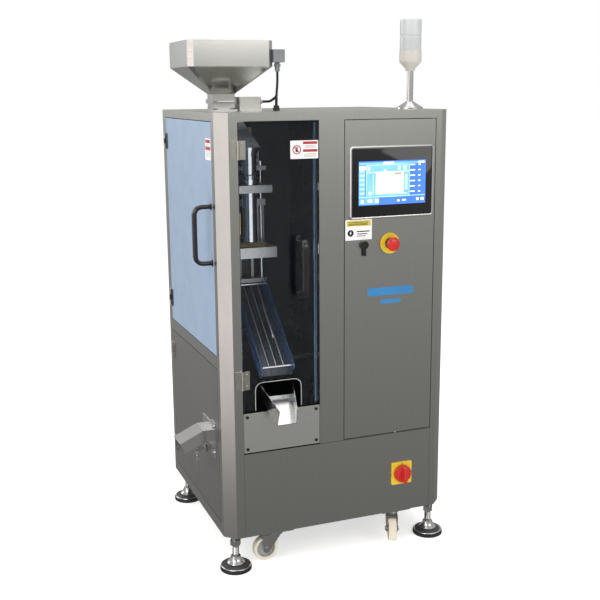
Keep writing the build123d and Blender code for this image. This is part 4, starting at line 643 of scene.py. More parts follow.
# ------------------------------------------------------------------ hinges
# Stainless butt hinges with three knuckles, screwed on with countersunk screws: two on the
# viewing door and two on each side door.
hinge_steel = steel("hinge_steel", (0.66, 0.64, 0.58), (0.56, 0.54, 0.49), ALONG_Z, 0.22, 0.36)
finish_nodes(hinge_steel, "hinge_leaves")
LEAF_THICK, LEAF_REACH, KNUCKLE = 2.5, 21.0, 4.0
PIN_GAP = 4.3
SCREW = [(0, 0), (3.6, 0), (3.6, 0.9), (2.6, 1.5), (1.2, 1.5), (1.1, 0.9), (0, 0.9)]


def moving_leaf(pin_x, pin_y, low, high, along, out):
    """Moving half of a butt hinge: one knuckle, the leaf beside it and its two screws.

    along points from the pin over the leaf, out away from the door's face; both are unit vectors.
    """
    along, out = np.array(along, float), np.array(out, float)
    pin = np.array([pin_x, pin_y, 0.0])
    third = (high - low) / 3
    barrel = [(2.1, low + third), (KNUCKLE, low + third), (KNUCKLE, high - third), (2.1, high - third)]
    face = pin - PIN_GAP * out
    leaf = [(KNUCKLE + 0.8, low), (LEAF_REACH, low), (LEAF_REACH, high), (KNUCKLE + 0.8, high)]
    neck = [(0, low + third), (KNUCKLE + 1, low + third), (KNUCKLE + 1, high - third), (0, high - third)]
    turn = 1 if np.dot(np.cross(along, UPWARD), out) > 0 else -1
    shapes = [ring(barrel, pin, UPWARD, 32)]
    for outline in (leaf, neck):
        shapes.append(prism(outline, face, along, UPWARD, 0, turn * LEAF_THICK))
    for height in (low + 10, high - 10):
        head = face + along * (LEAF_REACH + 4) / 2 + LEAF_THICK * out + np.array([0, 0, height])
        shapes.append(turned(SCREW, head, out, 24))
    return shapes


# ------------------------------------------------------------------ viewing door
# One sheet of dark tinted acrylic, 6 mm, cut out round the spout. A black nylon pull handle
# stands on it, and the hinges are screwed straight through.
tinted = plastic(
    "tinted_acrylic", (0.46, 0.49, 0.53), (0.44, 0.47, 0.51), 0.02, 0.03, bump=0.0,
    Transmission_Weight=1.0, IOR=1.28,
)
black_nylon = plastic("black_nylon", (0.012, 0.012, 0.013), (0.008, 0.008, 0.009), 0.18, 0.3, Coat_Weight=0.3)
finish_nodes(tinted, "viewing_door")

front_y = span_mm("lower_front_panel")[0][1]
low, high = span_mm("viewing_door")
door_left, door_right = low[0], high[0]
HANDLE_PITCH, HANDLE_OUT = 156.0, 48.0


def rounded_rect(width, height, radius, steps=6):
    """Outline of a rectangle with quarter circles at its corners, counter-clockwise."""
    t = np.linspace(0, np.pi / 2, steps)
    outline = []
    for quarter, (sx, sy) in enumerate([(1, 1), (-1, 1), (-1, -1), (1, -1)]):
        turn = t + quarter * np.pi / 2
        across = sx * (width / 2 - radius) + radius * np.cos(turn)
        outline += list(zip(across, sy * (height / 2 - radius) + radius * np.sin(turn)))
    return np.array(outline)


def pull_handle(name, foot, out, side, body):
    """Bent handle of oval section from its lower foot, out, up and back, with a washer at each foot."""
    foot, out = np.array(foot, float), np.array(out, float)
    rise = np.array([0, 0, HANDLE_PITCH])
    near, far = foot + 0.3 * out, foot + HANDLE_OUT * out
    corners = [near, far, far + rise, near + rise]
    grip = swept(rounded_rect(20, 12, 5.5), rounded_path(corners, 24, 12), side)
    washers = [
        turned([(0, 0.05), (9.6, 0.05), (9.6, 1.2), (8.6, 2), (0, 2)], foot + step, out, 32)
        for step in (np.zeros(3), rise)
    ]
    return piece(name, [grip] + washers, body, black_nylon)


HANDLE_IN, FRONT_HANDLE_Z, SIDE_HANDLE_IN, SIDE_HANDLE_Z = 59.0, 810.0, 16.0, 902.0
FRONT_HINGES, SIDE_HINGES = ((549, 603), (1187, 1237)), ((684, 738), (1190, 1238))
front_foot = (door_right - HANDLE_IN, front_y, FRONT_HANDLE_Z)
front_handle = pull_handle("front_door_handle", front_foot, FRONTWARD, RIGHTWARD, "viewing_door")
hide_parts("viewing_door_fittings")
front_pin_x, front_pin_y = door_left - 2.0, front_y - PIN_GAP
front_leaves = []
for low_z, high_z in FRONT_HINGES:
    front_leaves += moving_leaf(front_pin_x, front_pin_y, low_z, high_z, RIGHTWARD, FRONTWARD)
piece("front_door_hinges", front_leaves, "viewing_door", hinge_steel, bevel=0.3)

# A pale wire along the cut-out paints the highlight on its acrylic edge, and a blue anodised strip stands
# behind the closing edge.
CUT_X, CUT_HALF, CUT_TOP, CUT_BEND = -146.0, 69.0, 565.5, 25.0
# Pale grey wire on the cut-out's rim: a painted highlight of the acrylic's edge.
edge_painted_highlight = plastic("edge_painted_highlight", (0.52, 0.54, 0.54), (0.42, 0.44, 0.45), 0.1, 0.2, bump=0.0)
cut_y, cut_foot = low[1] + 0.6, low[2] + 2
cut_corners_xz = [(-CUT_HALF, cut_foot), (-CUT_HALF, CUT_TOP), (CUT_HALF, CUT_TOP), (CUT_HALF, cut_foot)]
cut_path = rounded_path([(CUT_X + x, cut_y, z) for x, z in cut_corners_xz], CUT_BEND)
piece("cut_out_painted_highlight", [wire(1.1, cut_path, REARWARD)], "viewing_door", edge_painted_highlight)

strip_blue = steel("anodised_strip", (0.40, 0.50, 0.68), (0.33, 0.42, 0.60), ALONG_Z, 0.2, 0.32)
strip_x = door_right - 12.0
door_stop = [
    box_shape((strip_x, low[1] + 8, low[2] + 4), (strip_x + 4, low[1] + 14, high[2] - 4)),
    box_shape((strip_x + 6, low[1] + 8, low[2] + 4), (strip_x + 8, low[1] + 11, high[2] - 4)),
]
piece("door_stop", door_stop, "cabinet", strip_blue, bevel=0.4)

# ------------------------------------------------------------------ door label
# A printed vinyl label: white, with a red prohibition ring round a plain hand shape and red
# bars. It carries no words.
vinyl_white = plastic("label_white", (0.86, 0.86, 0.85), (0.82, 0.82, 0.81), 0.3, 0.4, bump=0.0)
vinyl_red = plastic("label_red", (0.44, 0.035, 0.04), (0.38, 0.03, 0.035), 0.3, 0.4, bump=0.0)
vinyl_black = plastic("label_black", (0.02, 0.02, 0.02), (0.015, 0.015, 0.015), 0.3, 0.4, bump=0.0)
vinyl_grey = plastic("label_grey", (0.45, 0.45, 0.46), (0.4, 0.4, 0.41), 0.35, 0.45, bump=0.0)


def patch_shape(outline, x, z, lift, face_y=None, thick=0.08):
    """Thin printed patch on a front face: the outline round (x, z), lift millimetres out from the face."""
    y = front_y if face_y is None else face_y
    return prism(outline, (x, y, z), RIGHTWARD, UPWARD, lift, lift + thick)


def bar(width, height):
    """Corners of a plain rectangle round its middle."""
    return np.array([(-width, -height), (width, -height), (width, height), (-width, height)]) / 2


def annulus(outer, inner, x, z, lift, thick=0.08, segments=48):
    """Flat printed ring on the front face, from its inner to its outer circle."""
    profile = [(inner, lift), (outer, lift), (outer, lift + thick), (inner, lift + thick)]
    return ring(profile, (x, front_y, z), FRONTWARD, segments)


LABEL_X, LABEL_Z, LABEL_W, LABEL_H = -63.0, 1209.0, 81.0, 49.0
SIGN_X, TEXT_X = LABEL_X - 22, LABEL_X + 17
label = [patch_shape(rounded_rect(LABEL_W, LABEL_H, 2), LABEL_X, LABEL_Z, 0.05, thick=0.12)]
piece("door_label", label, "viewing_door", vinyl_white)
red_parts = [annulus(12.5, 9.4, SIGN_X, LABEL_Z, 0.18)]
slant = np.array([(-8.4, 6.6), (6.6, -8.4), (8.4, -6.6), (-6.6, 8.4)])
red_parts.append(patch_shape(slant, SIGN_X, LABEL_Z, 0.19))
for z in (18, -3):
    red_parts.append(patch_shape(bar(42, 7.2), TEXT_X, LABEL_Z + z, 0.18))
piece("door_label_red", red_parts, "viewing_door", vinyl_red)
palm = [patch_shape(rounded_rect(7.5, 8, 2.5), SIGN_X, LABEL_Z - 2.5, 0.18, thick=0.06)]
for step in range(4):
    palm.append(patch_shape(bar(1.4, 6.5), SIGN_X - 2.9 + step * 1.95, LABEL_Z + 4, 0.18, thick=0.06))
piece("door_label_hand", palm, "viewing_door", vinyl_black)
rules = [
    patch_shape(bar(34 - 4 * (row % 2), 1.5), TEXT_X, LABEL_Z + 11 - row * 2.9, 0.18) for row in range(3)
]
rules += [patch_shape(bar(36, 1.7), TEXT_X, LABEL_Z - 12 - row * 3.4, 0.18) for row in range(3)]
piece("door_label_rules", rules, "viewing_door", vinyl_grey)

# ------------------------------------------------------------------ side doors
# Folded leaves hung on butt hinges at the rear: the upper one painted light blue with a black
# pull handle, the lower one brushed steel with a cylinder lock.
door_blue = plastic(
    "door_blue", (0.30, 0.40, 0.54), (0.27, 0.37, 0.51), 0.3, 0.42, grain=350.0, Coat_Weight=0.25
)
lower_steel = steel("lower_door_steel", (0.50, 0.49, 0.475), (0.44, 0.43, 0.42), ALONG_Z, 0.28, 0.38)
finish_nodes(door_blue, "upper_side_door")
finish_nodes(lower_steel, "lower_side_door")
left_x = span_mm("left_side_frame")[0][0]
low, high = span_mm("upper_side_door")
side_foot = (left_x, low[1] + SIDE_HANDLE_IN, SIDE_HANDLE_Z)
side_handle = pull_handle("side_door_handle", side_foot, LEFTWARD, REARWARD, "upper_side_door")
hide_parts("upper_door_fittings")
side_pin_x, side_pin_y = left_x - PIN_GAP, high[1] + 1.0
dark_hinge = steel("dark_hinge", (0.16, 0.16, 0.16), (0.1, 0.1, 0.1), ALONG_Z, 0.3, 0.45)
upper_leaves = []
for low_z, high_z in SIDE_HINGES:
    upper_leaves += moving_leaf(side_pin_x, side_pin_y, low_z, high_z, FRONTWARD, LEFTWARD)
piece("side_door_hinges", upper_leaves, "upper_side_door", dark_hinge, bevel=0.3)

SIDE_LABEL_Y, SIDE_LABEL_Z = -186.0, 1212.0
side_label = [
    prism(rounded_rect(52, 58, 2), (left_x, SIDE_LABEL_Y, SIDE_LABEL_Z), FRONTWARD, UPWARD, 0.05, 0.17)
]
piece("side_label", side_label, "upper_side_door", vinyl_white)
side_red = [
    prism(bar(46, 9), (left_x, SIDE_LABEL_Y, SIDE_LABEL_Z + z), FRONTWARD, UPWARD, 0.18, 0.26)
    for z in (21, 2)
]
piece("side_label_red", side_red, "upper_side_door", vinyl_red)
side_rules = [
    prism(bar(40, 1.6), (left_x, SIDE_LABEL_Y, SIDE_LABEL_Z + z), FRONTWARD, UPWARD, 0.18, 0.26)
    for z in (12, 8.5, -7, -11, -15, -19)
]
piece("side_label_rules", side_rules, "upper_side_door", vinyl_grey)

duct_steel = steel("duct_steel", (0.78, 0.77, 0.76), (0.64, 0.63, 0.62), (40, 500, 500), 0.14, 0.26)
finish_nodes(duct_steel, "reject_duct", "side_lock")

# ------------------------------------------------------------------ control door
# A folded stainless leaf flush in the front, on two pivot pins hidden at its right edge. The
# operator panel, emergency stop and latch are set through it. Two plain blue bands are
# printed on it.
finish_nodes(cabinet_steel, "control_door")

INFO_X, INFO_Z = 59.5, 980.0
piece(
    "control_label", [patch_shape(rounded_rect(82, 58, 2), INFO_X + 41, INFO_Z, 0.05, thick=0.12)],
    "control_door", vinyl_white,
)
label_yellow = plastic("label_yellow", (0.62, 0.52, 0.06), (0.55, 0.46, 0.05), 0.3, 0.4, bump=0.0)
piece(
    "control_label_strip", [patch_shape(bar(74, 15), INFO_X + 41, INFO_Z + 18, 0.18)],
    "control_door", label_yellow,
)
icon = [
    patch_shape(polygon(9.5, 32), INFO_X + 16, INFO_Z - 9, 0.18),
    patch_shape(bar(40, 3.2), INFO_X + 55, INFO_Z - 5, 0.18),
    patch_shape(bar(33, 2.6), INFO_X + 52, INFO_Z - 12, 0.18),
    patch_shape(bar(28, 2.0), INFO_X + 49, INFO_Z - 18, 0.18),
]
icon += [patch_shape(bar(60, 1.4), INFO_X + 39, INFO_Z + z, 0.27) for z in (21, 17, 14)]
piece("control_label_print", icon, "control_door", vinyl_black)
flash = np.array([(1.5, 6.5), (-3.5, -0.5), (-0.3, -0.5), (-1.8, -6.5), (3.5, 1), (0.4, 1)])
piece(
    "control_label_flash", [patch_shape(flash, INFO_X + 16, INFO_Z - 9, 0.27)],
    "control_door", vinyl_white,
)

band_blue = plastic("stripe_blue", (0.035, 0.22, 0.50), (0.03, 0.19, 0.45), 0.3, 0.42, bump=0.0)
BAND_X, BAND_Z = 203.0, 796.0
bands = [
    patch_shape(rounded_rect(150, 24, 12), BAND_X, BAND_Z, 0.06),
    patch_shape(rounded_rect(66, 12, 6), BAND_X, BAND_Z - 30, 0.06),
]
piece("door_stripes", bands, "control_door", band_blue)

# ------------------------------------------------------------------ operator panel
# A touch screen in a die-cast frame with a thin bright rim. The picture on it is a plain
# layout of bars, buttons and a pale central field.
panel_rim = steel("hmi_metal", (0.88, 0.88, 0.87), (0.80, 0.80, 0.79), (120, 120, 120), 0.25, 0.38)
panel_glass = plastic("panel_glass", (0.012, 0.012, 0.013), (0.010, 0.010, 0.011), 0.06, 0.12, bump=0.0)
case_black = plastic("panel_case", (0.03, 0.03, 0.032), (0.022, 0.022, 0.024), 0.5, 0.65)
PANEL_X, PANEL_Z = 202.5, 1111.0
PANEL_W, PANEL_H, RIM = 262.0, 202.0, 5.0


def layered(rows, origin, across, upward):
    """Skin through several outlines with as many points: row k is outline k pushed out by its height."""
    across, upward = np.array(across, float), np.array(upward, float)
    out = np.cross(across, upward)
    points = []
    for outline, push in rows:
        a, b = np.array(outline, float).T
        points.append(np.array(origin) + a[:, None] * across + b[:, None] * upward + push * out)
    n = len(rows[0][0])
    last = (len(rows) - 1) * n
    ends = [list(range(n))[::-1], list(range(last, last + n))]
    return np.concatenate(points) * MM, grid_quads(len(rows), n, loop_cols=True).tolist() + ends


def panel_outline(inset, radius):
    """The operator panel's outline, drawn in by an inset."""
    return rounded_rect(PANEL_W - 2 * inset, PANEL_H - 2 * inset, max(radius - inset, 1.0), 8)


panel_at = (PANEL_X, front_y, PANEL_Z)
rim_rows = [
    (panel_outline(0, 9), 0.05), (panel_outline(0, 9), 4.2), (panel_outline(1.4, 9), 5.8),
    (panel_outline(3.2, 9), 5.95), (panel_outline(RIM, 9), 5.4), (panel_outline(RIM, 9), 3.1),
]
rim_skin = layered(rim_rows, panel_at, RIGHTWARD, UPWARD)
rim = piece("panel_rim", [rim_skin], "control_door", panel_rim)
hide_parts("hmi_panel")
glass_rows = [(panel_outline(RIM + inset, 9), push) for inset, push in ((0.1, 3.1), (0.1, 5.1), (0.5, 5.35))]
glass_skin = layered(glass_rows, panel_at, RIGHTWARD, UPWARD)
piece("panel_glass", [glass_skin], "control_door", panel_glass)
case = [
    box_shape(
        (PANEL_X - 119.5, front_y + 0.1, PANEL_Z - 89.5), (PANEL_X + 119.5, front_y + 36, PANEL_Z + 89.5)
    ),
    box_shape((PANEL_X - 108, front_y + 35, PANEL_Z - 78), (PANEL_X + 108, front_y + 42, PANEL_Z + 78)),
]
for rib in range(16):
    rib_x = PANEL_X - 100 + 13 * rib
    case.append(box_shape((rib_x, front_y + 36, PANEL_Z - 84), (rib_x + 6, front_y + 41, PANEL_Z + 84)))
piece("panel_case", case, "control_door", case_black, bevel=0.6)


def lit(name, colour, shade, glow):
    """Part of the screen's picture: its colour, changing a little over the surface, with its own light."""
    material = plastic(name, colour, shade, 0.2, 0.25, grain=5.0, bump=0.0)
    tree = material.node_tree
    pattern = next(node for node in tree.nodes if node.type == "GROUP")
    shader = tree.nodes["Principled BSDF"]
    tree.links.new(pattern.outputs["Colour"], shader.inputs["Emission Color"])
    shader.inputs["Emission Strength"].default_value = glow
    return material


screen_blue = lit("screen_blue", (0.055, 0.17, 0.72), (0.045, 0.14, 0.62), 0.9)
screen_sky = lit("screen_sky", (0.18, 0.42, 0.86), (0.13, 0.34, 0.80), 0.9)
screen_pale = lit("screen_pale", (0.42, 0.66, 0.95), (0.36, 0.60, 0.92), 0.9)
screen_cream = lit("screen_cream", (0.95, 0.93, 0.66), (0.96, 0.95, 0.78), 0.85)
screen_white = lit("screen_white", (0.95, 0.96, 0.98), (0.90, 0.93, 0.97), 0.85)
SCREEN_X, SCREEN_Z, SCREEN_W, SCREEN_H = 202.5, 1109.5, 210.0, 123.0
GLASS_FRONT = front_y - 5.35


def tile(x, z, width, height, level):
    """Rectangle of the picture by its middle, measured from the screen's lower left corner."""
    middle = (SCREEN_X - SCREEN_W / 2 + x, GLASS_FRONT, SCREEN_Z - SCREEN_H / 2 + z)
    return prism(bar(width, height), middle, RIGHTWARD, UPWARD, 0.02 + 0.05 * level, 0.05 + 0.05 * level)


screen_tile = tile(SCREEN_W / 2, SCREEN_H / 2, SCREEN_W, SCREEN_H, 0)
piece("screen_field", [screen_tile], "control_door", screen_blue)
sky_tiles = [
    tile(105, 116.5, 208, 6, 1), tile(10, 67, 19, 90, 1), tile(91, 67, 135, 92, 1), tile(28, 12, 24, 20, 1),
    tile(52, 12, 22, 20, 1), tile(9, 12, 16, 20, 1),
]
piece("screen_bars", sky_tiles, "control_door", screen_sky)
pale_tiles = [tile(91, 112, 135, 1.6, 2), tile(23.5, 67, 2, 92, 2), tile(158, 67, 2, 92, 2)]
pale_tiles.append(tile(105, 23, 208, 1.8, 2))
pale_tiles += [
    tile(91, 92, 135, 3.4, 2), tile(45, 58, 2.6, 56, 2), tile(35, 33, 10, 10, 2), tile(140, 30, 24, 4, 2),
]
pale_tiles += [tile(10, 34 + 12.5 * k, 14, 5, 2) for k in range(6)]
pale_tiles += [
    tile(31, 102, 8, 12, 2), tile(126, 102, 9, 12, 2), tile(144, 102, 12, 12, 2), tile(148, 62, 9, 44, 2),
]
piece("screen_frames", pale_tiles, "control_door", screen_pale)
piece("screen_panel", [tile(96, 61, 86, 61, 3)], "control_door", screen_cream)
white_tiles = [
    tile(92, 117, 33, 6, 3), tile(12, 105, 20, 9, 3), tile(81, 96, 7, 4, 3), tile(196, 117, 18, 5, 3),
]
white_tiles += [tile(168.5, 34 + 15.2 * k, 15, 3, 3) for k in range(6)]
white_tiles += [tile(190, 34 + 15.2 * k, 7, 3, 3) for k in range(6)]
white_tiles += [tile(11, 11, 8, 9, 3), tile(35, 12, 13, 8, 3), tile(57, 12, 11, 9, 3)]
white_tiles += [
    tile(124, 10, 7, 5, 3), tile(142, 11, 12, 4, 3), tile(185, 12, 8, 7, 3), tile(200, 12, 9, 8, 3),
]
piece("screen_marks", white_tiles, "control_door", screen_white)
piece("screen_tag", [tile(122, 87, 24, 5.5, 4)], "control_door", vinyl_grey)

# ------------------------------------------------------------------ emergency stop
# A red mushroom button with a ribbed skirt on a yellow disc, clamped through the door.
stop_red = plastic("stop_red", (0.60, 0.022, 0.018), (0.54, 0.018, 0.015), 0.18, 0.28, Coat_Weight=0.3)
stop_yellow = plastic("stop_yellow", (0.78, 0.56, 0.02), (0.72, 0.5, 0.018), 0.3, 0.42)
low, high = span_mm("estop_collar")
STOP_X, STOP_Z = ((low + high) / 2)[[0, 2]]
stop_at = (STOP_X, front_y, STOP_Z)
DISC = [(16, 0.1), (29.2, 0.1), (30, 0.8), (30, 2.2), (29.2, 3), (16, 3)]
disc_shape = ring(DISC, stop_at, FRONTWARD, 64)
yellow_disc = piece("stop_disc", [disc_shape], "control_door", stop_yellow)
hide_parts("estop_collar")
COLLAR = [(9.2, 0.1), (15.9, 0.1), (15.9, 11), (15, 12), (9.2, 12)]
BACK_NUT = [(9.2, -34), (11, -34), (11, -27.8), (15.8, -27.4), (15.8, -4.2), (11, -4), (11, 0.1), (9.2, 0.1)]
piece(
    "stop_collar", [ring(COLLAR, stop_at, FRONTWARD), ring(BACK_NUT, stop_at, FRONTWARD)],
    "control_door", case_black,
)
crown = [(20 * np.sin(a), 24.5 + 8.4 * np.cos(a)) for a in np.linspace(np.pi / 2, 0, 12)]
mushroom = [(0, -13.8), (8.9, -13.8), (8.9, 18.1), (16.6, 18.1), (19.4, 20.5), (20, 23)]
mushroom += crown[:-1] + [(0, 32.9)]
button_shape = turned(mushroom, stop_at, FRONTWARD, 64)
red_button = piece("stop_button", [button_shape], "estop_button", stop_red)
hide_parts("estop_button")

# ------------------------------------------------------------------ door latch
# A black quarter-turn latch: a round rose with a tail that hangs down when the door is shut.
finish_nodes(black_nylon, "door_latch")

# ------------------------------------------------------------------ main switch
# A rotary isolator: a yellow plate with rounded corners and a red knob with a raised grip.
low, high = span_mm("switch_knob")
SWITCH_X, SWITCH_Z = (low[0] + high[0]) / 2, (low[2] + high[2]) / 2
switch_at = (SWITCH_X, front_y, SWITCH_Z)
plate_rows = [
    (rounded_rect(67, 70, 4, 6), 0.05), (rounded_rect(67, 70, 4, 6), 3.2),
    (rounded_rect(65.4, 68.4, 3.4, 6), 4.0),
]
plate_skin = layered(plate_rows, switch_at, RIGHTWARD, UPWARD)
plate = piece("switch_plate", [plate_skin], "cabinet", stop_yellow)
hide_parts("switch_plate")
switch_body = [
    box_shape(
        (SWITCH_X - 29.5, front_y + 2.1, SWITCH_Z - 29.5), (SWITCH_X + 29.5, front_y + 44, SWITCH_Z + 29.5)
    ),
    box_shape((SWITCH_X - 24, front_y + 43, SWITCH_Z - 26), (SWITCH_X + 24, front_y + 49.5, SWITCH_Z + 26)),
]
piece("switch_body", switch_body, "cabinet", case_black, bevel=0.8)
KNOB = [
    (0, -29.5), (6.9, -29.5), (6.9, 4.4), (26.6, 4.4), (27, 5.2), (27, 14),
    (25.6, 16.6), (23.5, 17.3), (0, 17.3),
]
grip_rows = [
    (rounded_rect(12, 48, 3, 6), 16.9), (rounded_rect(12, 48, 3, 6), 30.5),
    (rounded_rect(9.6, 45.6, 2.4, 6), 33.4),
    (rounded_rect(6.5, 42, 2, 6), 34.0),
]
knob = piece(
    "switch_knob", [turned(KNOB, switch_at, FRONTWARD, 64), layered(grip_rows, switch_at, RIGHTWARD, UPWARD)],
    "switch_knob", stop_red,
)
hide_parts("switch_knob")
marks = [patch_shape(bar(1.6, 6), SWITCH_X, SWITCH_Z + 31, 4.02)]
ZERO_MARK = [(1.9, 4.02), (3.1, 4.02), (3.1, 4.12), (1.9, 4.12)]
marks.append(ring(ZERO_MARK, (SWITCH_X + 30, front_y, SWITCH_Z), FRONTWARD, 32))
piece("switch_marks", marks, "cabinet", vinyl_black)

# ------------------------------------------------------------------ hopper and slide gate
# Folded and welded bright sheet: a square box over a pyramid, on a throat with a flange. A
# steel slide with a bent wire pull shuts the throat.
hopper_steel = steel("hopper_steel", (0.68, 0.68, 0.655), (0.58, 0.58, 0.56), (60, 60, 300), 0.13, 0.24)
finish_nodes(hopper_steel, "hopper", "hopper_throat", "slide_gate")
low, high = span_mm("hopper")
hopper_mid = (low + high) / 2
hopper_width, hopper_depth, hopper_rim = high[0] - low[0], high[1] - low[1], high[2]
HEM_R = 1.1


def cut_corners(width, depth, corner):
    """Rectangle with its four corners cut off, round the origin."""
    a, b = width / 2, depth / 2
    return np.array(
        [
            (a, -b + corner), (a, b - corner), (a - corner, b), (-a + corner, b),
            (-a, b - corner), (-a, -b + corner), (-a + corner, -b), (a - corner, -b),
        ]
    )


hem_outline = cut_corners(hopper_width - 2 * HEM_R, hopper_depth - 2 * HEM_R, 13.6)
hem_path = np.concatenate([hem_outline, hem_outline[:1]])
hem_path = np.column_stack([hem_path + hopper_mid[:2], np.full(len(hem_path), hopper_rim - HEM_R - 0.05)])
hem = []
for start, end in zip(hem_path, hem_path[1:]):
    length = np.linalg.norm(end - start)
    hem.append(turned([(0, 0), (HEM_R, 0), (HEM_R, length), (0, length)], start, end - start, 12))
piece("hopper_hem", hem, "cabinet", hopper_steel)

# ------------------------------------------------------------------ feeder drive and level sensor
# A small steel housing beside the throat, and a grey moulded sensor box on the hopper's side
# with a cable gland below.
box_grey = plastic("sensor_grey", (0.24, 0.25, 0.26), (0.19, 0.2, 0.21), 0.4, 0.55)
housing_steel = steel("housing_steel", (0.62, 0.61, 0.59), (0.52, 0.51, 0.5), ALONG_X, 0.24, 0.36)
finish_nodes(box_grey, "level_sensor")
finish_nodes(housing_steel, "feeder_box")

# ------------------------------------------------------------------ flexible conduits
# Black corrugated nylon conduit from the sensor and the feeder to two glands in the top plate.
low, high = span_mm("level_sensor")
sensor_x, sensor_y = ((low + high) / 2)[:2]
sensor_foot = low[2]
top_z = span_mm("top_plate")[1][2]
gland_1 = (sensor_x - 2, sensor_y + 4)
gland_2 = (sensor_x + 6, hopper_mid[1] - 62)
low, high = span_mm("feeder_box")
feed_end, feed_y = high[0], (low[1] + high[1]) / 2
CONDUIT_SIDES = 14


def corrugated(corners, bend, pitch=2.6, deep=0.5, radius=3.5):
    """Ribbed tube along a rounded path: radius + deep x sin(2 pi s / pitch), s the length along it.

    Each station's two cross directions come from the one before, turned with the path.
    """
    path = rounded_path(corners, bend, 14)
    lengths = np.concatenate([[0], np.cumsum(np.linalg.norm(np.diff(path, axis=0), axis=1))])
    s = np.arange(0, lengths[-1], pitch / 6)
    line = np.stack([np.interp(s, lengths, path[:, k]) for k in range(3)], axis=1)
    tangent = np.gradient(line, axis=0)
    tangent /= np.linalg.norm(tangent, axis=1)[:, None]
    cross = [directions(tangent[0])[1]]
    for direction_now in tangent[1:]:
        side = cross[-1] - np.dot(cross[-1], direction_now) * direction_now
        cross.append(side / np.linalg.norm(side))
    u = np.array(cross)
    v = np.cross(tangent, u)
    t = np.linspace(0, 2 * np.pi, CONDUIT_SIDES, endpoint=False)
    ribs = radius + deep * np.sin(2 * np.pi * s / pitch)
    around = np.cos(t)[None, :, None] * u[:, None] + np.sin(t)[None, :, None] * v[:, None]
    points = line[:, None] + ribs[:, None, None] * around
    rows = len(line)
    ends = [list(range(CONDUIT_SIDES))[::-1], list(range((rows - 1) * CONDUIT_SIDES, rows * CONDUIT_SIDES))]
    return points.reshape(-1, 3) * MM, grid_quads(rows, CONDUIT_SIDES, loop_cols=True).tolist() + ends


conduit_black = plastic("conduit_black", (0.02, 0.02, 0.022), (0.013, 0.013, 0.014), 0.35, 0.5)
sensor_run = corrugated(
    [
        (sensor_x, sensor_y, sensor_foot + 0.3), (sensor_x, sensor_y, sensor_foot - 32),
        (*gland_1, top_z + 45), (*gland_1, top_z + 15.2),
    ],
    14,
)
feed_from = np.array([feed_end, feed_y, top_z + 25])
feed_run = corrugated(
    [
        feed_from - (0.5, 0, 0), feed_from + (26, 0, 0), feed_from + (38, -22, 14), (*gland_2, top_z + 41),
        (*gland_2, top_z + 15.2),
    ],
    9,
)
conduits = piece("conduits", [sensor_run, feed_run], "cabinet", conduit_black, sharp=80)
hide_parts("flexible_conduits")
GLAND = [(0, 0), (6, 0), (6, 8.5), (7.6, 8.8), (7.6, 12.5), (6, 14.4), (4.2, 15), (0, 15)]
glands = []
for x, y in (gland_1, gland_2):
    glands.append(turned(GLAND, (x, y, top_z), UPWARD, 32))
    glands.append(prism(polygon(9.5, 6), (x, y, top_z), RIGHTWARD, REARWARD, 0.1, 8))
piece("top_glands", glands, "cabinet", case_black, sharp=30)

# ------------------------------------------------------------------ signal tower
# A spun steel foot and mast under a cream moulded base and two clear-white ribbed lenses.
tower_cream = plastic("tower_cream", (0.62, 0.60, 0.55), (0.57, 0.55, 0.50), 0.3, 0.42)
lens_white = plastic(
    "tower_lens", (0.64, 0.66, 0.67), (0.57, 0.59, 0.60), 0.12, 0.2, grain=200.0, Coat_Weight=0.4
)
finish_nodes(spout_steel, "tower_mast")
low, high = span_mm("tower_lights")
tower_at = (*((low + high) / 2)[:2], low[2])
TOWER_BASE = [
    (0, 0.05), (12, 0.05), (13.5, 2), (15, 8), (22, 15), (31, 25), (32.6, 27),
    (33, 29), (33, 56), (32.4, 59.8), (0, 59.8),
]
base_shape = turned(TOWER_BASE, tower_at, UPWARD, 64)
tower_base = piece("tower_base", [base_shape], "cabinet", tower_cream)
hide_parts("tower_lights")
lens_parts = []
for foot, tall in ((60, 42), (104, 45)):
    ribs = int((tall - 8) / 3)
    lens = [(0, foot), (31, foot), (31.6, foot + 1), (31.6, foot + 3)]
    for step in range(ribs):
        z = foot + 4 + step * 3
        lens += [(31.9, z), (31.9, z + 1.8), (31.3, z + 2.2), (31.3, z + 2.7)]
    top = foot + tall
    lens += [(31.6, top - 3.4), (31.4, top - 1.6), (30, top - 0.4), (28, top), (0, top)]
    lens_parts.append(turned(lens, tower_at, UPWARD, 64))
piece("tower_lenses", lens_parts, "cabinet", lens_white, sharp=25)
joint_ring = [turned([(0, 101.5), (30, 101.5), (30, 104.5), (0, 104.5)], tower_at, UPWARD, 64)]
piece("tower_joint", joint_ring, "cabinet", tower_cream)

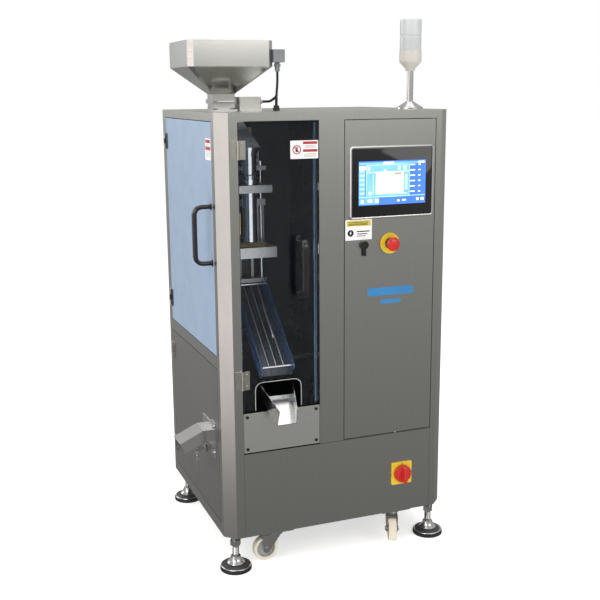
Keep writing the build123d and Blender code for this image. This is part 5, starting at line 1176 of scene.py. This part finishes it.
# ------------------------------------------------------------------ electrics
# Zinc-plated mounting plate with slotted wire ducts, a controller, a power supply, relays and
# a row of terminals, reached through the control door.
galvanised = steel("galvanised", (0.62, 0.63, 0.62), (0.50, 0.51, 0.51), (30, 30, 30), 0.35, 0.55, cloud=22.0)
duct_grey = plastic("duct_grey", (0.42, 0.43, 0.44), (0.38, 0.39, 0.4), 0.45, 0.6)
module_dark = plastic("module_dark", (0.07, 0.075, 0.08), (0.05, 0.055, 0.06), 0.4, 0.55)
terminal_beige = plastic("terminal_beige", (0.50, 0.47, 0.38), (0.44, 0.41, 0.33), 0.4, 0.55)
low, high = span_mm("electrics_plate")
STANDOFF, TRAY_SHEET = 65.0, 3.0
tray_x0, tray_x1 = low[0], high[0]
tray_z0, tray_z1 = low[2], high[2]
tray_y = high[1] - STANDOFF - TRAY_SHEET
plate_parts = [box_shape((tray_x0, tray_y, tray_z0), (tray_x1, tray_y + TRAY_SHEET, tray_z1))]
POST = [(0, 0), (6, 0), (6, STANDOFF), (0, STANDOFF)]
for x in (tray_x0 + 20, tray_x1 - 20):
    for z in (tray_z0 + 20, tray_z1 - 20):
        plate_parts.append(turned(POST, (x, tray_y + TRAY_SHEET, z), REARWARD, 24))
mounting = piece("mounting_plate", plate_parts, "cabinet", galvanised, bevel=0.3)
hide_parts("electrics_plate")
ducts = []
for z in (tray_z1 - 60, tray_z1 - 260, tray_z0 + 180, tray_z0 + 20):
    ducts.append(box_shape((tray_x0 + 10, tray_y - 50, z), (tray_x1 - 10, tray_y - 47.5, z + 40)))
    ducts.append(box_shape((tray_x0 + 10, tray_y - 2.5, z), (tray_x1 - 10, tray_y - 0.1, z + 40)))
    for finger in range(28):
        x = tray_x0 + 10 + finger * 10.3
        for shelf in (z, z + 38):
            ducts.append(box_shape((x, tray_y - 48, shelf), (x + 6, tray_y - 2, shelf + 2)))
piece("wire_ducts", ducts, "cabinet", duct_grey)
modules = [
    box_shape((tray_x0 + 20, tray_y - 75, tray_z1 - 205), (tray_x0 + 150, tray_y - 0.1, tray_z1 - 75)),
    box_shape((tray_x0 + 165, tray_y - 90, tray_z1 - 205), (tray_x0 + 245, tray_y - 0.1, tray_z1 - 75)),
]
for relay in range(8):
    relay_x = tray_x0 + 20 + 24 * relay
    block_low = (relay_x, tray_y - 65, tray_z0 + 240)
    modules.append(box_shape(block_low, (relay_x + 22, tray_y - 0.1, tray_z0 + 330)))
piece("control_modules", modules, "cabinet", module_dark, bevel=1.0)
terminals = []
for terminal in range(24):
    terminal_x = tray_x0 + 20 + 9 * terminal
    block_low = (terminal_x, tray_y - 40, tray_z0 + 90)
    terminals.append(box_shape(block_low, (terminal_x + 8, tray_y - 0.1, tray_z0 + 150)))
piece("terminal_row", terminals, "cabinet", terminal_beige, bevel=0.6)
